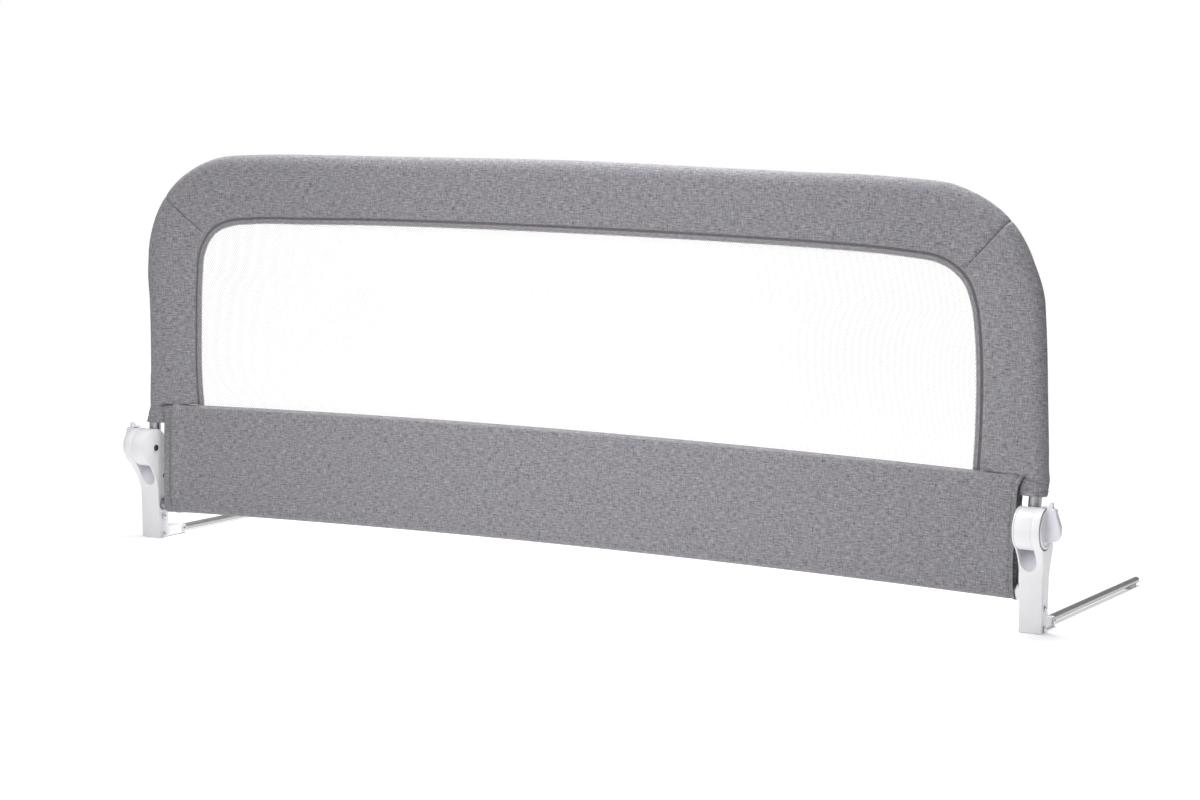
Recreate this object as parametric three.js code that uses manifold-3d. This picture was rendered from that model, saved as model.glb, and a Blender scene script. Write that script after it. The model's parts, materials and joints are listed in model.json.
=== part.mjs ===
// Folding bed guard rail: a cloth-covered hoop of steel tube with a net window, hinged at both ends
// on plastic legs. The hoop folds forward and down when the wing knobs are turned.
// Millimetres, +X along the rail, +Y towards the bed, +Z up. Sizes are written for the right-hand leg
// in the cover's own plane, and the left-hand leg is its mirror image.
import * as THREE from "three";
import { mergeVertices } from "three/addons/utils/BufferGeometryUtils.js";
import Module from "manifold-3d";

const wasm = await Module();
wasm.setup();

// Clearances
const clearance = 0.3;
const cutOverrun = 3;

// Cover outline, seen from the front
const coverHalfWidth = 650;
const coverTop = 530;
const coverCornerRadius = 138;
const sideBorderWidth = 90;
const topBorderWidth = 90;
const windowCornerRadius = 64;
const panelTop = 188;
const panelGapAtSleeve = 0.6;
const panelInset = 32;
const bowRise = 10;
const leftSeamDegrees = 37;
const rightSeamDegrees = 48;
const sleeveHemHeight = 162;

// Cloth
const clothThickness = 1;
const clothSlack = 1;
const sewnEdgeThickness = 3.2;
const borderPuff = 1.4;
const bindingWidth = 8;
const panelTopThickness = 18;

// Net window
const netThickness = 0.8;
const netStrand = 3.4;
const netColumns = 25;
const netRows = 6;

// Rail tubes
const railTubeRadius = 8;
const railTubeWall = 1;
const tubeSocketDepth = 27;
const topJointInset = 320;
const jointNeckLength = 40;
const lowerTubeHeight = 48;
const lowerTubeSetback = 3;
const lowerJointPlace = 0;
const lowerTubeEndMargin = 8;
const collarRadius = 10;
const collarLength = 5;

// Leg
const legInnerMargin = 12.5;
const legWidth = 28.5;
const legGroundGap = 1;
const legFrontAtFoot = 6;
const legFrontAtNeck = 9.5;
const legNeckHeight = 62;
const legBackAtFoot = 15;
const legBackAtShoulder = 10.5;
const legBackFlatHeight = 60;
const legShoulderHeight = 112;
const legWall = 2.2;
const pocketTop = 62;
const tubeStopDepth = 6;
const headRadius = 26;
const headBulge = 5;
const headSlopeFoot = 68;
const headSlopeTop = 104;
const pivotHeight = 128;
const pivotForward = 16;
const neckArcDegrees = 235;
const napeArcDegrees = 20;
const neckPull = 14;
const recessFootHeight = 76;
const recessHeadHeight = 103;
const recessFootForward = 13;
const recessHeadSetback = 3;

// Hinge head
const hubWidth = 21;
const hubGap = 0.6;
const axleRadius = 3;
const axleHeadRadius = 4.2;
const axleHeadLength = 1.6;
const springRadius = 6.2;
const springWire = 2.2;
const springLength = 8;
const clampRadius = 21.5;
const clampThickness = 2;
const clampTravel = 1.2;
const cupFloor = 2;
const cupRadius = 24.5;
const stemRadius = 6;
const pinRadius = 2;
const pinRise = 6;

// Wing knob
const knobRadius = 23.6;
const knobProud = 2;
const wingWidth = 9;
const wingTop = 26;
const wingFoot = 15;
const wingReachTop = 11;
const wingReachMost = 17;
const wingBellyTop = 6;
const wingBellyFoot = 9;
const nubHeight = 7;
const nubWidth = 6;
const nubReach = 6.5;
const tabThickness = 1.8;
const tabLength = 8;
const tabWidth = 8;

// Foot bracket
const bracketWidth = 20;
const bracketSheet = 1.5;
const bracketHeight = 14.5;
const bracketEndHeight = 12;
const bracketReach = 61;
const bracketTabTop = 38;
const bracketFront = 3.4;
const bracketWebEnd = 42;
const bracketNose = 3.5;
const slotLength = 12;
const slotWidth = 3;
const slotSetback = 24;

// Fasteners
const boltRadius = 2.4;
const boltHeadRadius = 3.9;
const boltHeadLength = 1.8;
const boltSetback = 4;
const upperBoltHeight = 30;
const lowerBoltHeight = 5;
const screwRadius = 1.4;
const screwHeadRadius = 2.6;
const screwHeadLength = 1.8;
const screwHeight = 87.5;
const screwEndMargin = 4;
const rivetRadius = 2.5;
const rivetHeadRadius = 4;
const rivetHeadLength = 1.4;

// Support arm
const armPivotSetback = 54;
const armAxisHeight = 7;
const armEnd = 408;
const armTubeRadius = 4.5;
const armTubeWall = 0.9;
const knuckleRadius = 5;
const knuckleLength = 8;
const knuckleGap = 0.4;
const spigotLength = 14;
const plugLip = 2.5;
const plugStub = 12;
const armPadLength = 26;
const armPadSetback = 10;
const armPadWidth = 8.4;
const armPadHeight = 4.5;
const armPadGap = 0.25;

// Facets
const roundSides = 20;
const smallSides = 12;
const tubeSides = 16;
const tubeArcSegments = 7;
const arcSegments = 9;
const arcSteps = 12;
const bowSteps = 12;
const noseSteps = 6;

// Places that follow from the sizes
const coverInset = railTubeRadius + clothSlack + clothThickness;
const windowHalfWidth = coverHalfWidth - sideBorderWidth;
const windowTop = coverTop - topBorderWidth;
const panelHalfWidth = coverHalfWidth - panelInset;
const tubePlace = coverHalfWidth - coverInset;
const topJointPlace = coverHalfWidth - topJointInset;
const tubeTop = coverTop - coverInset;
const legInnerFace = tubePlace - legInnerMargin;
const legOuterFace = legInnerFace + legWidth;
const headFace = legOuterFace + headBulge;
const hubInner = tubePlace - hubWidth / 2;
const hubOuter = tubePlace + hubWidth / 2;
const shellSplit = (legInnerFace + legOuterFace) / 2;
const clampSeat = hubOuter + clearance;
const cupFloorInner = clampSeat + clampThickness + clampTravel + clearance;
const cupFloorOuter = cupFloorInner + cupFloor;
const bracketInner = tubePlace - bracketWidth / 2;
const bracketOuter = tubePlace + bracketWidth / 2;
const footprintFront = pivotForward + headRadius;
const footprintCentre = (armEnd - footprintFront) / 2;

const xAxis = new THREE.Vector3(1, 0, 0);
const yAxis = new THREE.Vector3(0, 1, 0);
const zAxis = new THREE.Vector3(0, 0, 1);

const whitePlastic = { color: 0xf1f1f3, roughness: 0.35, metalness: 0 };
const knobPlastic = { color: 0xe9e9ee, roughness: 0.32, metalness: 0 };
const railSteel = { color: 0x8b8d90, roughness: 0.4, metalness: 1 };
const armSteel = { color: 0xc2c2c4, roughness: 0.28, metalness: 1 };
const bracketSteel = { color: 0xf0f0f0, roughness: 0.4, metalness: 0.2 };
const zincSteel = { color: 0xb9bec4, roughness: 0.35, metalness: 1 };
const darkSteel = { color: 0x35383c, roughness: 0.45, metalness: 1 };
const greyCloth = { color: 0x8a8a8f, roughness: 0.9, metalness: 0 };
const bindingCloth = { color: 0x77777c, roughness: 0.9, metalness: 0 };
const netCloth = { color: 0xf6f6f6, roughness: 0.8, metalness: 0 };
const paleRubber = { color: 0xc4c4c8, roughness: 0.7, metalness: 0 };

// A geometry as a solid that can be joined and cut
function solidOf(geometry) {
  const bare = geometry.index ? geometry.toNonIndexed() : geometry.clone();
  for (const name of Object.keys(bare.attributes)) {
    if (name !== "position") bare.deleteAttribute(name);
  }
  const merged = mergeVertices(bare);
  const triVerts = new Uint32Array(merged.index.array);
  const vertProperties = merged.attributes.position.array;
  return new wasm.Manifold(new wasm.Mesh({ numProp: 3, vertProperties, triVerts }));
}

// A solid as a geometry that a mesh can show
function geometryOf(solid) {
  const mesh = solid.getMesh();
  const geometry = new THREE.BufferGeometry();
  geometry.setAttribute("position", new THREE.BufferAttribute(mesh.vertProperties, mesh.numProp));
  geometry.setIndex(new THREE.BufferAttribute(mesh.triVerts, 1));
  return geometry;
}

// The first geometry joined with the pieces and cut by the cutters
function shaped(base, pieces, cutters) {
  let solid = solidOf(base);
  for (const piece of pieces) solid = solid.add(solidOf(piece));
  for (const cutter of cutters) solid = solid.subtract(solidOf(cutter));
  return geometryOf(solid);
}

function rodX(radius, fromX, toX, y, z, sides = roundSides) {
  const rod = new THREE.CylinderGeometry(radius, radius, toX - fromX, sides);
  return rod.rotateZ(Math.PI / 2).translate((fromX + toX) / 2, y, z);
}

function rodY(radius, fromY, toY, x, z, sides = tubeSides) {
  const rod = new THREE.CylinderGeometry(radius, radius, toY - fromY, sides);
  return rod.rotateY(Math.PI / sides).translate(x, (fromY + toY) / 2, z);
}

function rodZ(radius, fromZ, toZ, x, y, sides = roundSides) {
  const rod = new THREE.CylinderGeometry(radius, radius, toZ - fromZ, sides);
  return rod.rotateX(Math.PI / 2).translate(x, y, (fromZ + toZ) / 2);
}

function block(fromX, toX, fromY, toY, fromZ, toZ) {
  const box = new THREE.BoxGeometry(toX - fromX, toY - fromY, toZ - fromZ);
  return box.translate((fromX + toX) / 2, (fromY + toY) / 2, (fromZ + toZ) / 2);
}

// A shape drawn in Y and Z, drawn out along X
function prismX(shape, fromX, toX, steps = 1) {
  const settings = { depth: toX - fromX, bevelEnabled: false, curveSegments: arcSegments, steps };
  const prism = new THREE.ExtrudeGeometry(shape, settings);
  prism.applyMatrix4(new THREE.Matrix4().makeBasis(yAxis, zAxis, xAxis));
  return prism.translate(fromX, 0, 0);
}

// A shape drawn in X and Z, drawn out along Y
function prismY(shape, fromY, toY) {
  const settings = { depth: toY - fromY, bevelEnabled: false, curveSegments: arcSegments };
  const prism = new THREE.ExtrudeGeometry(shape, settings);
  return prism.rotateX(Math.PI / 2).translate(0, toY, 0);
}

function polygon(points) {
  return new THREE.Shape(points.map(([u, v]) => new THREE.Vector2(u, v)));
}

function ringShape(radius, bore) {
  const ring = new THREE.Shape().absarc(0, 0, radius, 0, 2 * Math.PI);
  ring.holes.push(new THREE.Path().absarc(0, 0, bore, 0, 2 * Math.PI, true));
  return ring;
}

// How far the long pieces rise between the legs
function bowAt(x) {
  return bowRise * Math.max(0, 1 - (x / legInnerFace) ** 2);
}

function bowedPoint(point) {
  return new THREE.Vector2(point.x, point.y + bowAt(point.x));
}

function bowed(geometry) {
  const position = geometry.getAttribute("position");
  for (let i = 0; i < position.count; i++) {
    position.setZ(i, position.getZ(i) + bowAt(position.getX(i)));
  }
  return geometry;
}

// A path through chosen points, which keeps each of them as a step of the tube
class StationPath extends THREE.Curve {
  constructor(points) {
    super();
    this.points = points;
  }
  getPoint(share, target = new THREE.Vector3()) {
    const last = this.points.length - 1;
    const place = share * last;
    const index = Math.min(Math.floor(place), last - 1);
    return target.lerpVectors(this.points[index], this.points[index + 1], place - index);
  }
  getPointAt(share, target) {
    return this.getPoint(share, target);
  }
  getTangentAt(share, target = new THREE.Vector3()) {
    const last = this.points.length - 1;
    const index = Math.round(share * last);
    const before = this.points[Math.max(index - 1, 0)];
    const after = this.points[Math.min(index + 1, last)];
    return target.subVectors(after, before).normalize();
  }
}

function hollowTube(points, radius, bore) {
  const path = new StationPath(points);
  const settings = { steps: points.length - 1, extrudePath: path, curveSegments: tubeArcSegments };
  return new THREE.ExtrudeGeometry(ringShape(radius, bore), settings);
}

function evenly(from, to, steps) {
  return Array.from({ length: steps + 1 }, (_, i) => from + ((to - from) * i) / steps);
}

// Cover and window outlines
function cornerPoint(halfWidth, top, radius, angle) {
  const x = halfWidth - radius + radius * Math.cos(angle);
  return new THREE.Vector2(x, top - radius + radius * Math.sin(angle));
}

const borderInnerHalfWidth = windowHalfWidth + bindingWidth;
const borderInnerTop = windowTop + bindingWidth;
const borderInnerRadius = windowCornerRadius + bindingWidth;

// Places along the border, each with a point on its outer edge and one on its inner edge
function sideStations(height, innerEdge) {
  return [new THREE.Vector2(coverHalfWidth, height), new THREE.Vector2(innerEdge, height)];
}

function cornerStations(fromAngle, toAngle) {
  const steps = Math.max(2, Math.round((arcSteps * Math.abs(toAngle - fromAngle)) / (Math.PI / 2)));
  return evenly(fromAngle, toAngle, steps).map((angle) => [
    cornerPoint(coverHalfWidth, coverTop, coverCornerRadius, angle),
    cornerPoint(borderInnerHalfWidth, borderInnerTop, borderInnerRadius, angle),
  ]);
}

// Section of the border: a round nose on the tube and two cloth layers that close to a sewn edge
function borderSection(width, inset, edgeThickness) {
  const nose = coverInset - inset;
  const shares = [0.4, 0.7];
  const thicknessAt = (share) => {
    const straight = nose + (edgeThickness / 2 - nose) * share;
    return straight + borderPuff * Math.sin(Math.PI * share);
  };
  const front = shares.map((share) => {
    const reach = coverInset + (width - inset - coverInset) * share;
    return [reach, thicknessAt(share)];
  });
  const loop = evenly(Math.PI / 2, (3 * Math.PI) / 2, noseSteps).map((angle) => [
    coverInset + nose * Math.cos(angle),
    nose * Math.sin(angle),
  ]);
  for (const [reach, half] of front) loop.push([reach, -half]);
  loop.push([width - inset, -edgeThickness / 2], [width - inset, edgeThickness / 2]);
  for (const [reach, half] of front.reverse()) loop.push([reach, half]);
  return loop;
}

// A cloth sleeve along the border, with the tube's channel through it
function sleeve(stations) {
  const loops = stations.map(([outer, inner]) => {
    const width = outer.distanceTo(inner);
    const inward = inner.clone().sub(outer).normalize();
    const place = ([reach, y]) => [outer.x + inward.x * reach, y, outer.y + inward.y * reach];
    const skin = borderSection(width, 0, sewnEdgeThickness).map(place);
    const edgeInside = sewnEdgeThickness - 2 * clothThickness;
    const lining = borderSection(width, clothThickness, edgeInside).map(place);
    return { skin, lining };
  });
  const points = [];
  const count = loops[0].skin.length;
  for (const { skin, lining } of loops) points.push(...skin, ...lining);
  const index = [];
  const quad = (a, b, c, d) => index.push(a, b, c, a, c, d);
  const stride = 2 * count;
  for (let s = 0; s < loops.length - 1; s++) {
    for (let i = 0; i < count; i++) {
      const j = (i + 1) % count;
      const here = s * stride;
      const next = here + stride;
      quad(here + i, next + i, next + j, here + j);
      quad(here + count + i, here + count + j, next + count + j, next + count + i);
    }
  }
  const end = (loops.length - 1) * stride;
  for (let i = 0; i < count; i++) {
    const j = (i + 1) % count;
    quad(i, j, count + j, count + i);
    quad(end + i, end + count + i, end + count + j, end + j);
  }
  const geometry = new THREE.BufferGeometry();
  geometry.setAttribute("position", new THREE.Float32BufferAttribute(points.flat(), 3));
  geometry.setIndex(index);
  return bowed(geometry);
}

function radians(degrees) {
  return (degrees * Math.PI) / 180;
}

function sideCover(seamDegrees) {
  const narrowEdge = panelHalfWidth + panelGapAtSleeve;
  const shelf = panelTop + clearance;
  const seam = radians(seamDegrees) - clearance / coverCornerRadius;
  const stations = [
    sideStations(sleeveHemHeight, narrowEdge),
    sideStations(shelf, narrowEdge),
    sideStations(shelf + panelGapAtSleeve, borderInnerHalfWidth),
    ...cornerStations(0, seam),
  ];
  return sleeve(stations);
}

function topCover() {
  const right = cornerStations(radians(rightSeamDegrees), Math.PI / 2);
  const left = cornerStations(radians(leftSeamDegrees), Math.PI / 2).reverse();
  const edges = [coverHalfWidth - coverCornerRadius, borderInnerHalfWidth - borderInnerRadius];
  const between = evenly(1, -1, bowSteps).slice(1, -1).map((share) => [
    new THREE.Vector2(edges[0] * share, coverTop),
    new THREE.Vector2(edges[1] * share, borderInnerTop),
  ]);
  const mirrored = left.map((pair) => pair.map((point) => new THREE.Vector2(-point.x, point.y)));
  return sleeve([...right, ...between, ...mirrored]);
}

// Outline of the window, drawn from its lower right corner over the top to its lower left one
function windowOutline(grow, foot) {
  const halfWidth = windowHalfWidth + grow;
  const top = windowTop + grow;
  const radius = windowCornerRadius + grow;
  const arc = evenly(0, Math.PI / 2, arcSteps / 2).map((angle) =>
    cornerPoint(halfWidth, top, radius, angle),
  );
  const flat = evenly(1, -1, bowSteps).slice(1, -1).map(
    (share) => new THREE.Vector2((halfWidth - radius) * share, top),
  );
  const rightSide = [new THREE.Vector2(halfWidth, foot), ...arc];
  const leftSide = [...rightSide].reverse().map((point) => new THREE.Vector2(-point.x, point.y));
  return [...rightSide, ...flat, ...leftSide];
}

function windowBinding() {
  const foot = panelTop + 2 * clearance;
  const outer = windowOutline(bindingWidth - clearance, foot);
  const inner = windowOutline(0, foot).reverse();
  const band = new THREE.Shape([...outer, ...inner].map(bowedPoint));
  return prismY(band, -sewnEdgeThickness / 2, sewnEdgeThickness / 2);
}

// The net: an outline with one gap for each cell that lies inside it
function netWindow() {
  const foot = panelTop + 2 * clearance;
  const rim = -clearance;
  const footEdge = evenly(-1, 1, bowSteps).slice(1, -1).map(
    (share) => new THREE.Vector2((windowHalfWidth + rim) * share, foot),
  );
  const outline = new THREE.Shape([...windowOutline(rim, foot), ...footEdge].map(bowedPoint));
  const width = 2 * (windowHalfWidth + rim) - netStrand;
  const height = windowTop + rim - foot - netStrand;
  const pitchX = width / netColumns;
  const pitchZ = height / netRows;
  const centre = windowHalfWidth - windowCornerRadius;
  const centreTop = windowTop - windowCornerRadius;
  const inside = (x, z) => {
    const pastX = Math.abs(x) - centre;
    const pastZ = z - centreTop;
    return pastX < 0 || pastZ < 0 || Math.hypot(pastX, pastZ) < windowCornerRadius - netStrand;
  };
  for (let column = 0; column < netColumns; column++) {
    for (let row = 0; row < netRows; row++) {
      const left = -width / 2 + column * pitchX + netStrand / 2;
      const low = foot + row * pitchZ + netStrand;
      const right = left + pitchX - netStrand;
      const high = low + pitchZ - netStrand;
      const home = new THREE.Vector2(Math.abs(left) < Math.abs(right) ? left : right, low);
      const gap = [[left, low], [left, high], [right, high], [right, low]].map(([x, z]) => {
        const corner = new THREE.Vector2(x, z);
        const share = evenly(0, 1, arcSteps).find((step) => {
          const tried = corner.clone().lerp(home, step);
          return inside(tried.x, tried.y);
        });
        return bowedPoint(corner.lerp(home, share));
      });
      outline.holes.push(new THREE.Path(gap));
    }
  }
  return prismY(outline, -netThickness / 2, netThickness / 2);
}

// The lower panel: front and back cloth that close over the net's foot and loop round the lower tube
function panelLoop(grow) {
  const radius = railTubeRadius + clothSlack + grow;
  const halfTop = panelTopThickness / 2 - clothThickness + grow;
  const top = panelTop - clothThickness + grow;
  const loop = new THREE.Shape();
  loop.moveTo(halfTop, top);
  loop.lineTo(-halfTop, top);
  loop.absarc(lowerTubeSetback, lowerTubeHeight, radius, Math.PI, 2 * Math.PI);
  loop.closePath();
  return loop;
}

function lowerPanel() {
  const section = panelLoop(clothThickness);
  section.holes.push(new THREE.Path(panelLoop(0).getPoints(arcSegments)));
  return bowed(prismX(section, -panelHalfWidth, panelHalfWidth, bowSteps));
}

// Rail tubes
function cornerTube() {
  const radius = coverCornerRadius - coverInset;
  const start = pivotHeight + Math.sqrt(headRadius ** 2 - pivotForward ** 2) - tubeSocketDepth;
  const points = [new THREE.Vector3(tubePlace, 0, start)];
  for (const angle of evenly(0, Math.PI / 2, arcSteps)) {
    const point = cornerPoint(tubePlace, tubeTop, radius, angle);
    points.push(new THREE.Vector3(point.x, 0, point.y));
  }
  const bend = tubePlace - radius;
  for (const x of evenly(bend, topJointPlace, 4).slice(1)) {
    points.push(new THREE.Vector3(x, 0, tubeTop));
  }
  const tube = hollowTube(points, railTubeRadius, railTubeRadius - railTubeWall);
  const neckStart = topJointPlace + railTubeWall;
  const neck = straightTube(neckStart, topJointPlace - jointNeckLength, 0, tubeTop, neckRadius);
  return shaped(bowed(tube), [bowed(neck)], [tubePinHole()]);
}

const neckRadius = railTubeRadius - railTubeWall + clearance / 2;

function straightTube(fromX, toX, y, z, radius, bore = radius - railTubeWall) {
  const places = evenly(fromX, toX, Math.max(2, Math.round(Math.abs(toX - fromX) / coverCornerRadius)));
  return hollowTube(places.map((x) => new THREE.Vector3(x, y, z)), radius, bore);
}

// The straight tube between the corners, belled at its ends over the corner tubes' necks
function topTube() {
  const end = topJointPlace - clearance;
  const bore = neckRadius + clearance;
  return bowed(straightTube(-end, end, 0, tubeTop, railTubeRadius, bore));
}

function lowerTubeRight() {
  const end = legOuterFace - lowerTubeEndMargin;
  const places = evenly(lowerJointPlace, legInnerFace, bowSteps / 2);
  const points = [...places, end].map((x) => new THREE.Vector3(x, lowerTubeSetback, lowerTubeHeight));
  const bore = neckRadius + clearance;
  return bowed(hollowTube(points, railTubeRadius, bore));
}

function lowerTubeLeft() {
  const end = lowerTubeEndMargin - legOuterFace;
  const from = lowerJointPlace - clearance;
  const places = evenly(from, -legInnerFace, bowSteps / 2);
  const points = [...places, end].map((x) => new THREE.Vector3(x, lowerTubeSetback, lowerTubeHeight));
  const tube = bowed(hollowTube(points, railTubeRadius, railTubeRadius - railTubeWall));
  const neckEnd = lowerJointPlace + jointNeckLength;
  const neckFrom = from - railTubeWall;
  const neck = straightTube(neckFrom, neckEnd, lowerTubeSetback, lowerTubeHeight, neckRadius);
  return shaped(tube, [bowed(neck)], []);
}

function tubeCollar() {
  const from = legInnerFace - clearance - collarLength;
  const to = legInnerFace - clearance;
  const outer = rodX(collarRadius, from, to, lowerTubeSetback, lowerTubeHeight);
  const bore = railTubeRadius + 2 * clearance;
  const hole = rodX(bore, from - cutOverrun, to + cutOverrun, lowerTubeSetback, lowerTubeHeight);
  return shaped(outer, [], [hole]);
}

// Leg shells
function legOutline() {
  const neck = radians(neckArcDegrees);
  const start = [-pivotForward + headRadius * Math.cos(neck), pivotHeight + headRadius * Math.sin(neck)];
  const pullY = start[0] - neckPull * Math.sin(neck);
  const pullZ = start[1] + neckPull * Math.cos(neck);
  const outline = new THREE.Shape();
  outline.moveTo(-legFrontAtFoot, legGroundGap);
  outline.lineTo(legBackAtFoot, legGroundGap);
  outline.lineTo(legBackAtFoot, legBackFlatHeight);
  outline.lineTo(legBackAtShoulder, legShoulderHeight);
  outline.absarc(-pivotForward, pivotHeight, headRadius, radians(napeArcDegrees), neck);
  outline.bezierCurveTo(
    pullY, pullZ, -legFrontAtNeck, legNeckHeight + neckPull, -legFrontAtNeck, legNeckHeight,
  );
  outline.closePath();
  return outline;
}

// The tube's bay below the hub: a sloping round-bottomed groove, open to the front
function bayCutters() {
  const radius = hubWidth / 2;
  const foot = new THREE.Vector2(-recessFootForward - radius, recessFootHeight);
  const head = new THREE.Vector2(recessHeadSetback - radius, recessHeadHeight);
  const along = head.clone().sub(foot);
  const length = along.length();
  const groove = new THREE.CylinderGeometry(radius, radius, 2 * length, roundSides);
  groove.rotateX(Math.PI / 2 - Math.atan2(along.x, along.y));
  groove.translate(tubePlace, (foot.x + head.x) / 2, (foot.y + head.y) / 2);
  const front = -footprintFront - cutOverrun;
  const slab = polygon([
    [foot.x - along.x / 2, foot.y - along.y / 2],
    [head.x + along.x / 2, head.y + along.y / 2],
    [front, head.y + along.y / 2],
    [front, foot.y - along.y / 2],
  ]);
  return [groove, prismX(slab, tubePlace - radius, tubePlace + radius)];
}

function hubBay(toX) {
  return rodX(headRadius + clearance, hubInner - clearance, toX, -pivotForward, pivotHeight, 2 * roundSides);
}

function crossHole(radius, y, z) {
  return rodX(radius, legInnerFace - cutOverrun, headFace + cutOverrun, y, z, smallSides);
}

function legPocket(fromX, toX) {
  const front = -legFrontAtFoot + legWall;
  const back = legBackAtFoot - legWall;
  return block(fromX, toX, front, back, -cutOverrun, pocketTop);
}

function bracketMouth() {
  const fromX = bracketInner - clearance;
  const toX = bracketOuter + clearance;
  return block(fromX, toX, 0, legBackAtFoot + cutOverrun, -cutOverrun, bracketHeight + clearance);
}

function tubeMouth(toX) {
  const radius = railTubeRadius + 2 * clearance;
  return rodX(radius, legInnerFace - cutOverrun, toX, lowerTubeSetback, lowerTubeHeight);
}

function shellCutters() {
  return [
    ...bayCutters(),
    bracketMouth(),
    crossHole(axleRadius + clearance, -pivotForward, pivotHeight),
    crossHole(boltRadius + clearance, boltSetback, upperBoltHeight),
    crossHole(boltRadius + clearance, boltSetback, lowerBoltHeight),
    screwHole(),
  ];
}

const screwEnd = legOuterFace - screwEndMargin;

function screwHole() {
  const from = legInnerFace - cutOverrun;
  return rodX(screwRadius + clearance, from, screwEnd + clearance, boltSetback, screwHeight, smallSides);
}

function innerShell() {
  const toX = shellSplit - clearance / 2;
  const headBore = screwHeadRadius + clearance;
  const headDepth = legInnerFace + screwHeadLength + 2 * clearance;
  return shaped(prismX(legOutline(), legInnerFace, toX), [], [
    ...shellCutters(),
    hubBay(toX + cutOverrun),
    legPocket(legInnerFace + legWall, toX + cutOverrun),
    tubeMouth(toX + cutOverrun),
    rodX(headBore, legInnerFace - cutOverrun, headDepth, boltSetback, screwHeight, smallSides),
  ]);
}

// The shoulder from the leg's outer face out to the head's
function shoulderCutter() {
  const past = headFace + cutOverrun;
  const wedge = polygon([
    [legOuterFace, -cutOverrun],
    [past, -cutOverrun],
    [past, headSlopeTop],
    [headFace, headSlopeTop],
    [legOuterFace, headSlopeFoot],
  ]);
  return prismY(wedge, -footprintFront - cutOverrun, legBackAtFoot + cutOverrun);
}

function outerShell() {
  const fromX = shellSplit + clearance / 2;
  const tubeEnd = legOuterFace - lowerTubeEndMargin + clearance;
  return shaped(prismX(legOutline(), fromX, headFace), [], [
    ...shellCutters(),
    shoulderCutter(),
    hubBay(clampSeat),
    rodX(clampRadius + 2 * clearance, hubOuter, cupFloorInner, -pivotForward, pivotHeight),
    rodX(cupRadius, cupFloorOuter, headFace + cutOverrun, -pivotForward, pivotHeight, 2 * roundSides),
    crossHole(stemRadius + clearance, -pivotForward, pivotHeight),
    legPocket(fromX - cutOverrun, legOuterFace - legWall),
    tubeMouth(tubeEnd),
  ]);
}

// Hinge head
function tubePinHole() {
  const fromX = hubInner - cutOverrun;
  const height = pivotHeight + pinRise;
  return rodX(pinRadius + clearance, fromX, hubOuter + cutOverrun, 0, height, smallSides);
}

function hub() {
  const radius = headRadius - hubGap + clearance;
  const socketFoot = pivotHeight + Math.sqrt(headRadius ** 2 - pivotForward ** 2) - tubeSocketDepth;
  const socket = rodZ(
    railTubeRadius + clearance, socketFoot - clearance, pivotHeight + 2 * headRadius, tubePlace, 0,
  );
  const springBay = springRadius + 2 * clearance;
  return shaped(rodX(radius, hubInner, hubOuter, -pivotForward, pivotHeight, 2 * roundSides), [], [
    socket,
    crossHole(axleRadius + clearance, -pivotForward, pivotHeight),
    rodX(springBay, hubOuter - springLength, hubOuter + cutOverrun, -pivotForward, pivotHeight),
    tubePinHole(),
  ]);
}

function tubePin() {
  const height = pivotHeight + pinRise;
  return rodX(pinRadius, hubInner + clearance, hubOuter - clearance, 0, height, smallSides);
}

function axle() {
  const end = headFace - clearance;
  const headEnd = legInnerFace - clearance;
  const headFrom = headEnd - axleHeadLength;
  const shank = rodX(axleRadius, headEnd, end, -pivotForward, pivotHeight, smallSides);
  const head = rodX(axleHeadRadius, headFrom, headEnd, -pivotForward, pivotHeight, smallSides);
  return shaped(shank, [head], []);
}

function releaseSpring() {
  const fromX = hubOuter - springLength + clearance;
  const bore = springRadius - springWire;
  const outer = rodX(springRadius, fromX, hubOuter, -pivotForward, pivotHeight);
  const hole = rodX(bore, fromX - cutOverrun, hubOuter + cutOverrun, -pivotForward, pivotHeight);
  return shaped(outer, [], [hole]);
}

function clampRing() {
  const disc = rodX(clampRadius, clampSeat, clampSeat + clampThickness, -pivotForward, pivotHeight);
  return shaped(disc, [], [crossHole(axleRadius + clearance, -pivotForward, pivotHeight)]);
}

// The wing knob: a disc in the head's cup, a stem through its floor and an upright wing
function wingKnob() {
  const face = headFace + knobProud;
  const seat = cupFloorOuter + clearance;
  const centre = [-pivotForward, pivotHeight];
  const disc = rodX(knobRadius, seat, face, ...centre, 2 * roundSides);
  const stem = rodX(stemRadius, cupFloorInner + clearance / 2, face, ...centre);
  const wing = new THREE.Shape();
  wing.moveTo(seat + clearance, pivotHeight - wingFoot);
  wing.lineTo(face + wingReachTop, pivotHeight - wingFoot + nubWidth / 2);
  wing.quadraticCurveTo(
    face + wingReachMost, pivotHeight - wingFoot + nubWidth / 2,
    face + wingReachMost, pivotHeight - wingBellyFoot + wingBellyTop,
  );
  wing.quadraticCurveTo(
    face + wingReachMost, pivotHeight + wingBellyTop + wingBellyFoot,
    face + wingReachTop, pivotHeight + wingTop,
  );
  wing.lineTo(face, pivotHeight + wingTop);
  wing.lineTo(seat + clearance, pivotHeight + wingTop - nubHeight);
  wing.closePath();
  const bar = prismY(wing, -pivotForward - wingWidth / 2, -pivotForward + wingWidth / 2);
  const nubTop = pivotHeight + wingTop + nubHeight;
  const nub = block(
    face, face + nubReach, -pivotForward - nubWidth / 2, -pivotForward + nubWidth / 2,
    pivotHeight + wingTop - nubHeight, nubTop,
  );
  const tabFoot = pivotHeight + headRadius + 2 * clearance;
  const tab = block(
    face - tabLength, face + nubReach, -pivotForward - tabWidth / 2, -pivotForward + tabWidth / 2,
    tabFoot, tabFoot + tabThickness,
  );
  const bore = rodX(axleRadius + clearance, legOuterFace - headBulge, headFace, ...centre);
  return shaped(disc, [stem, bar, nub, tab], [bore]);
}

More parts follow.
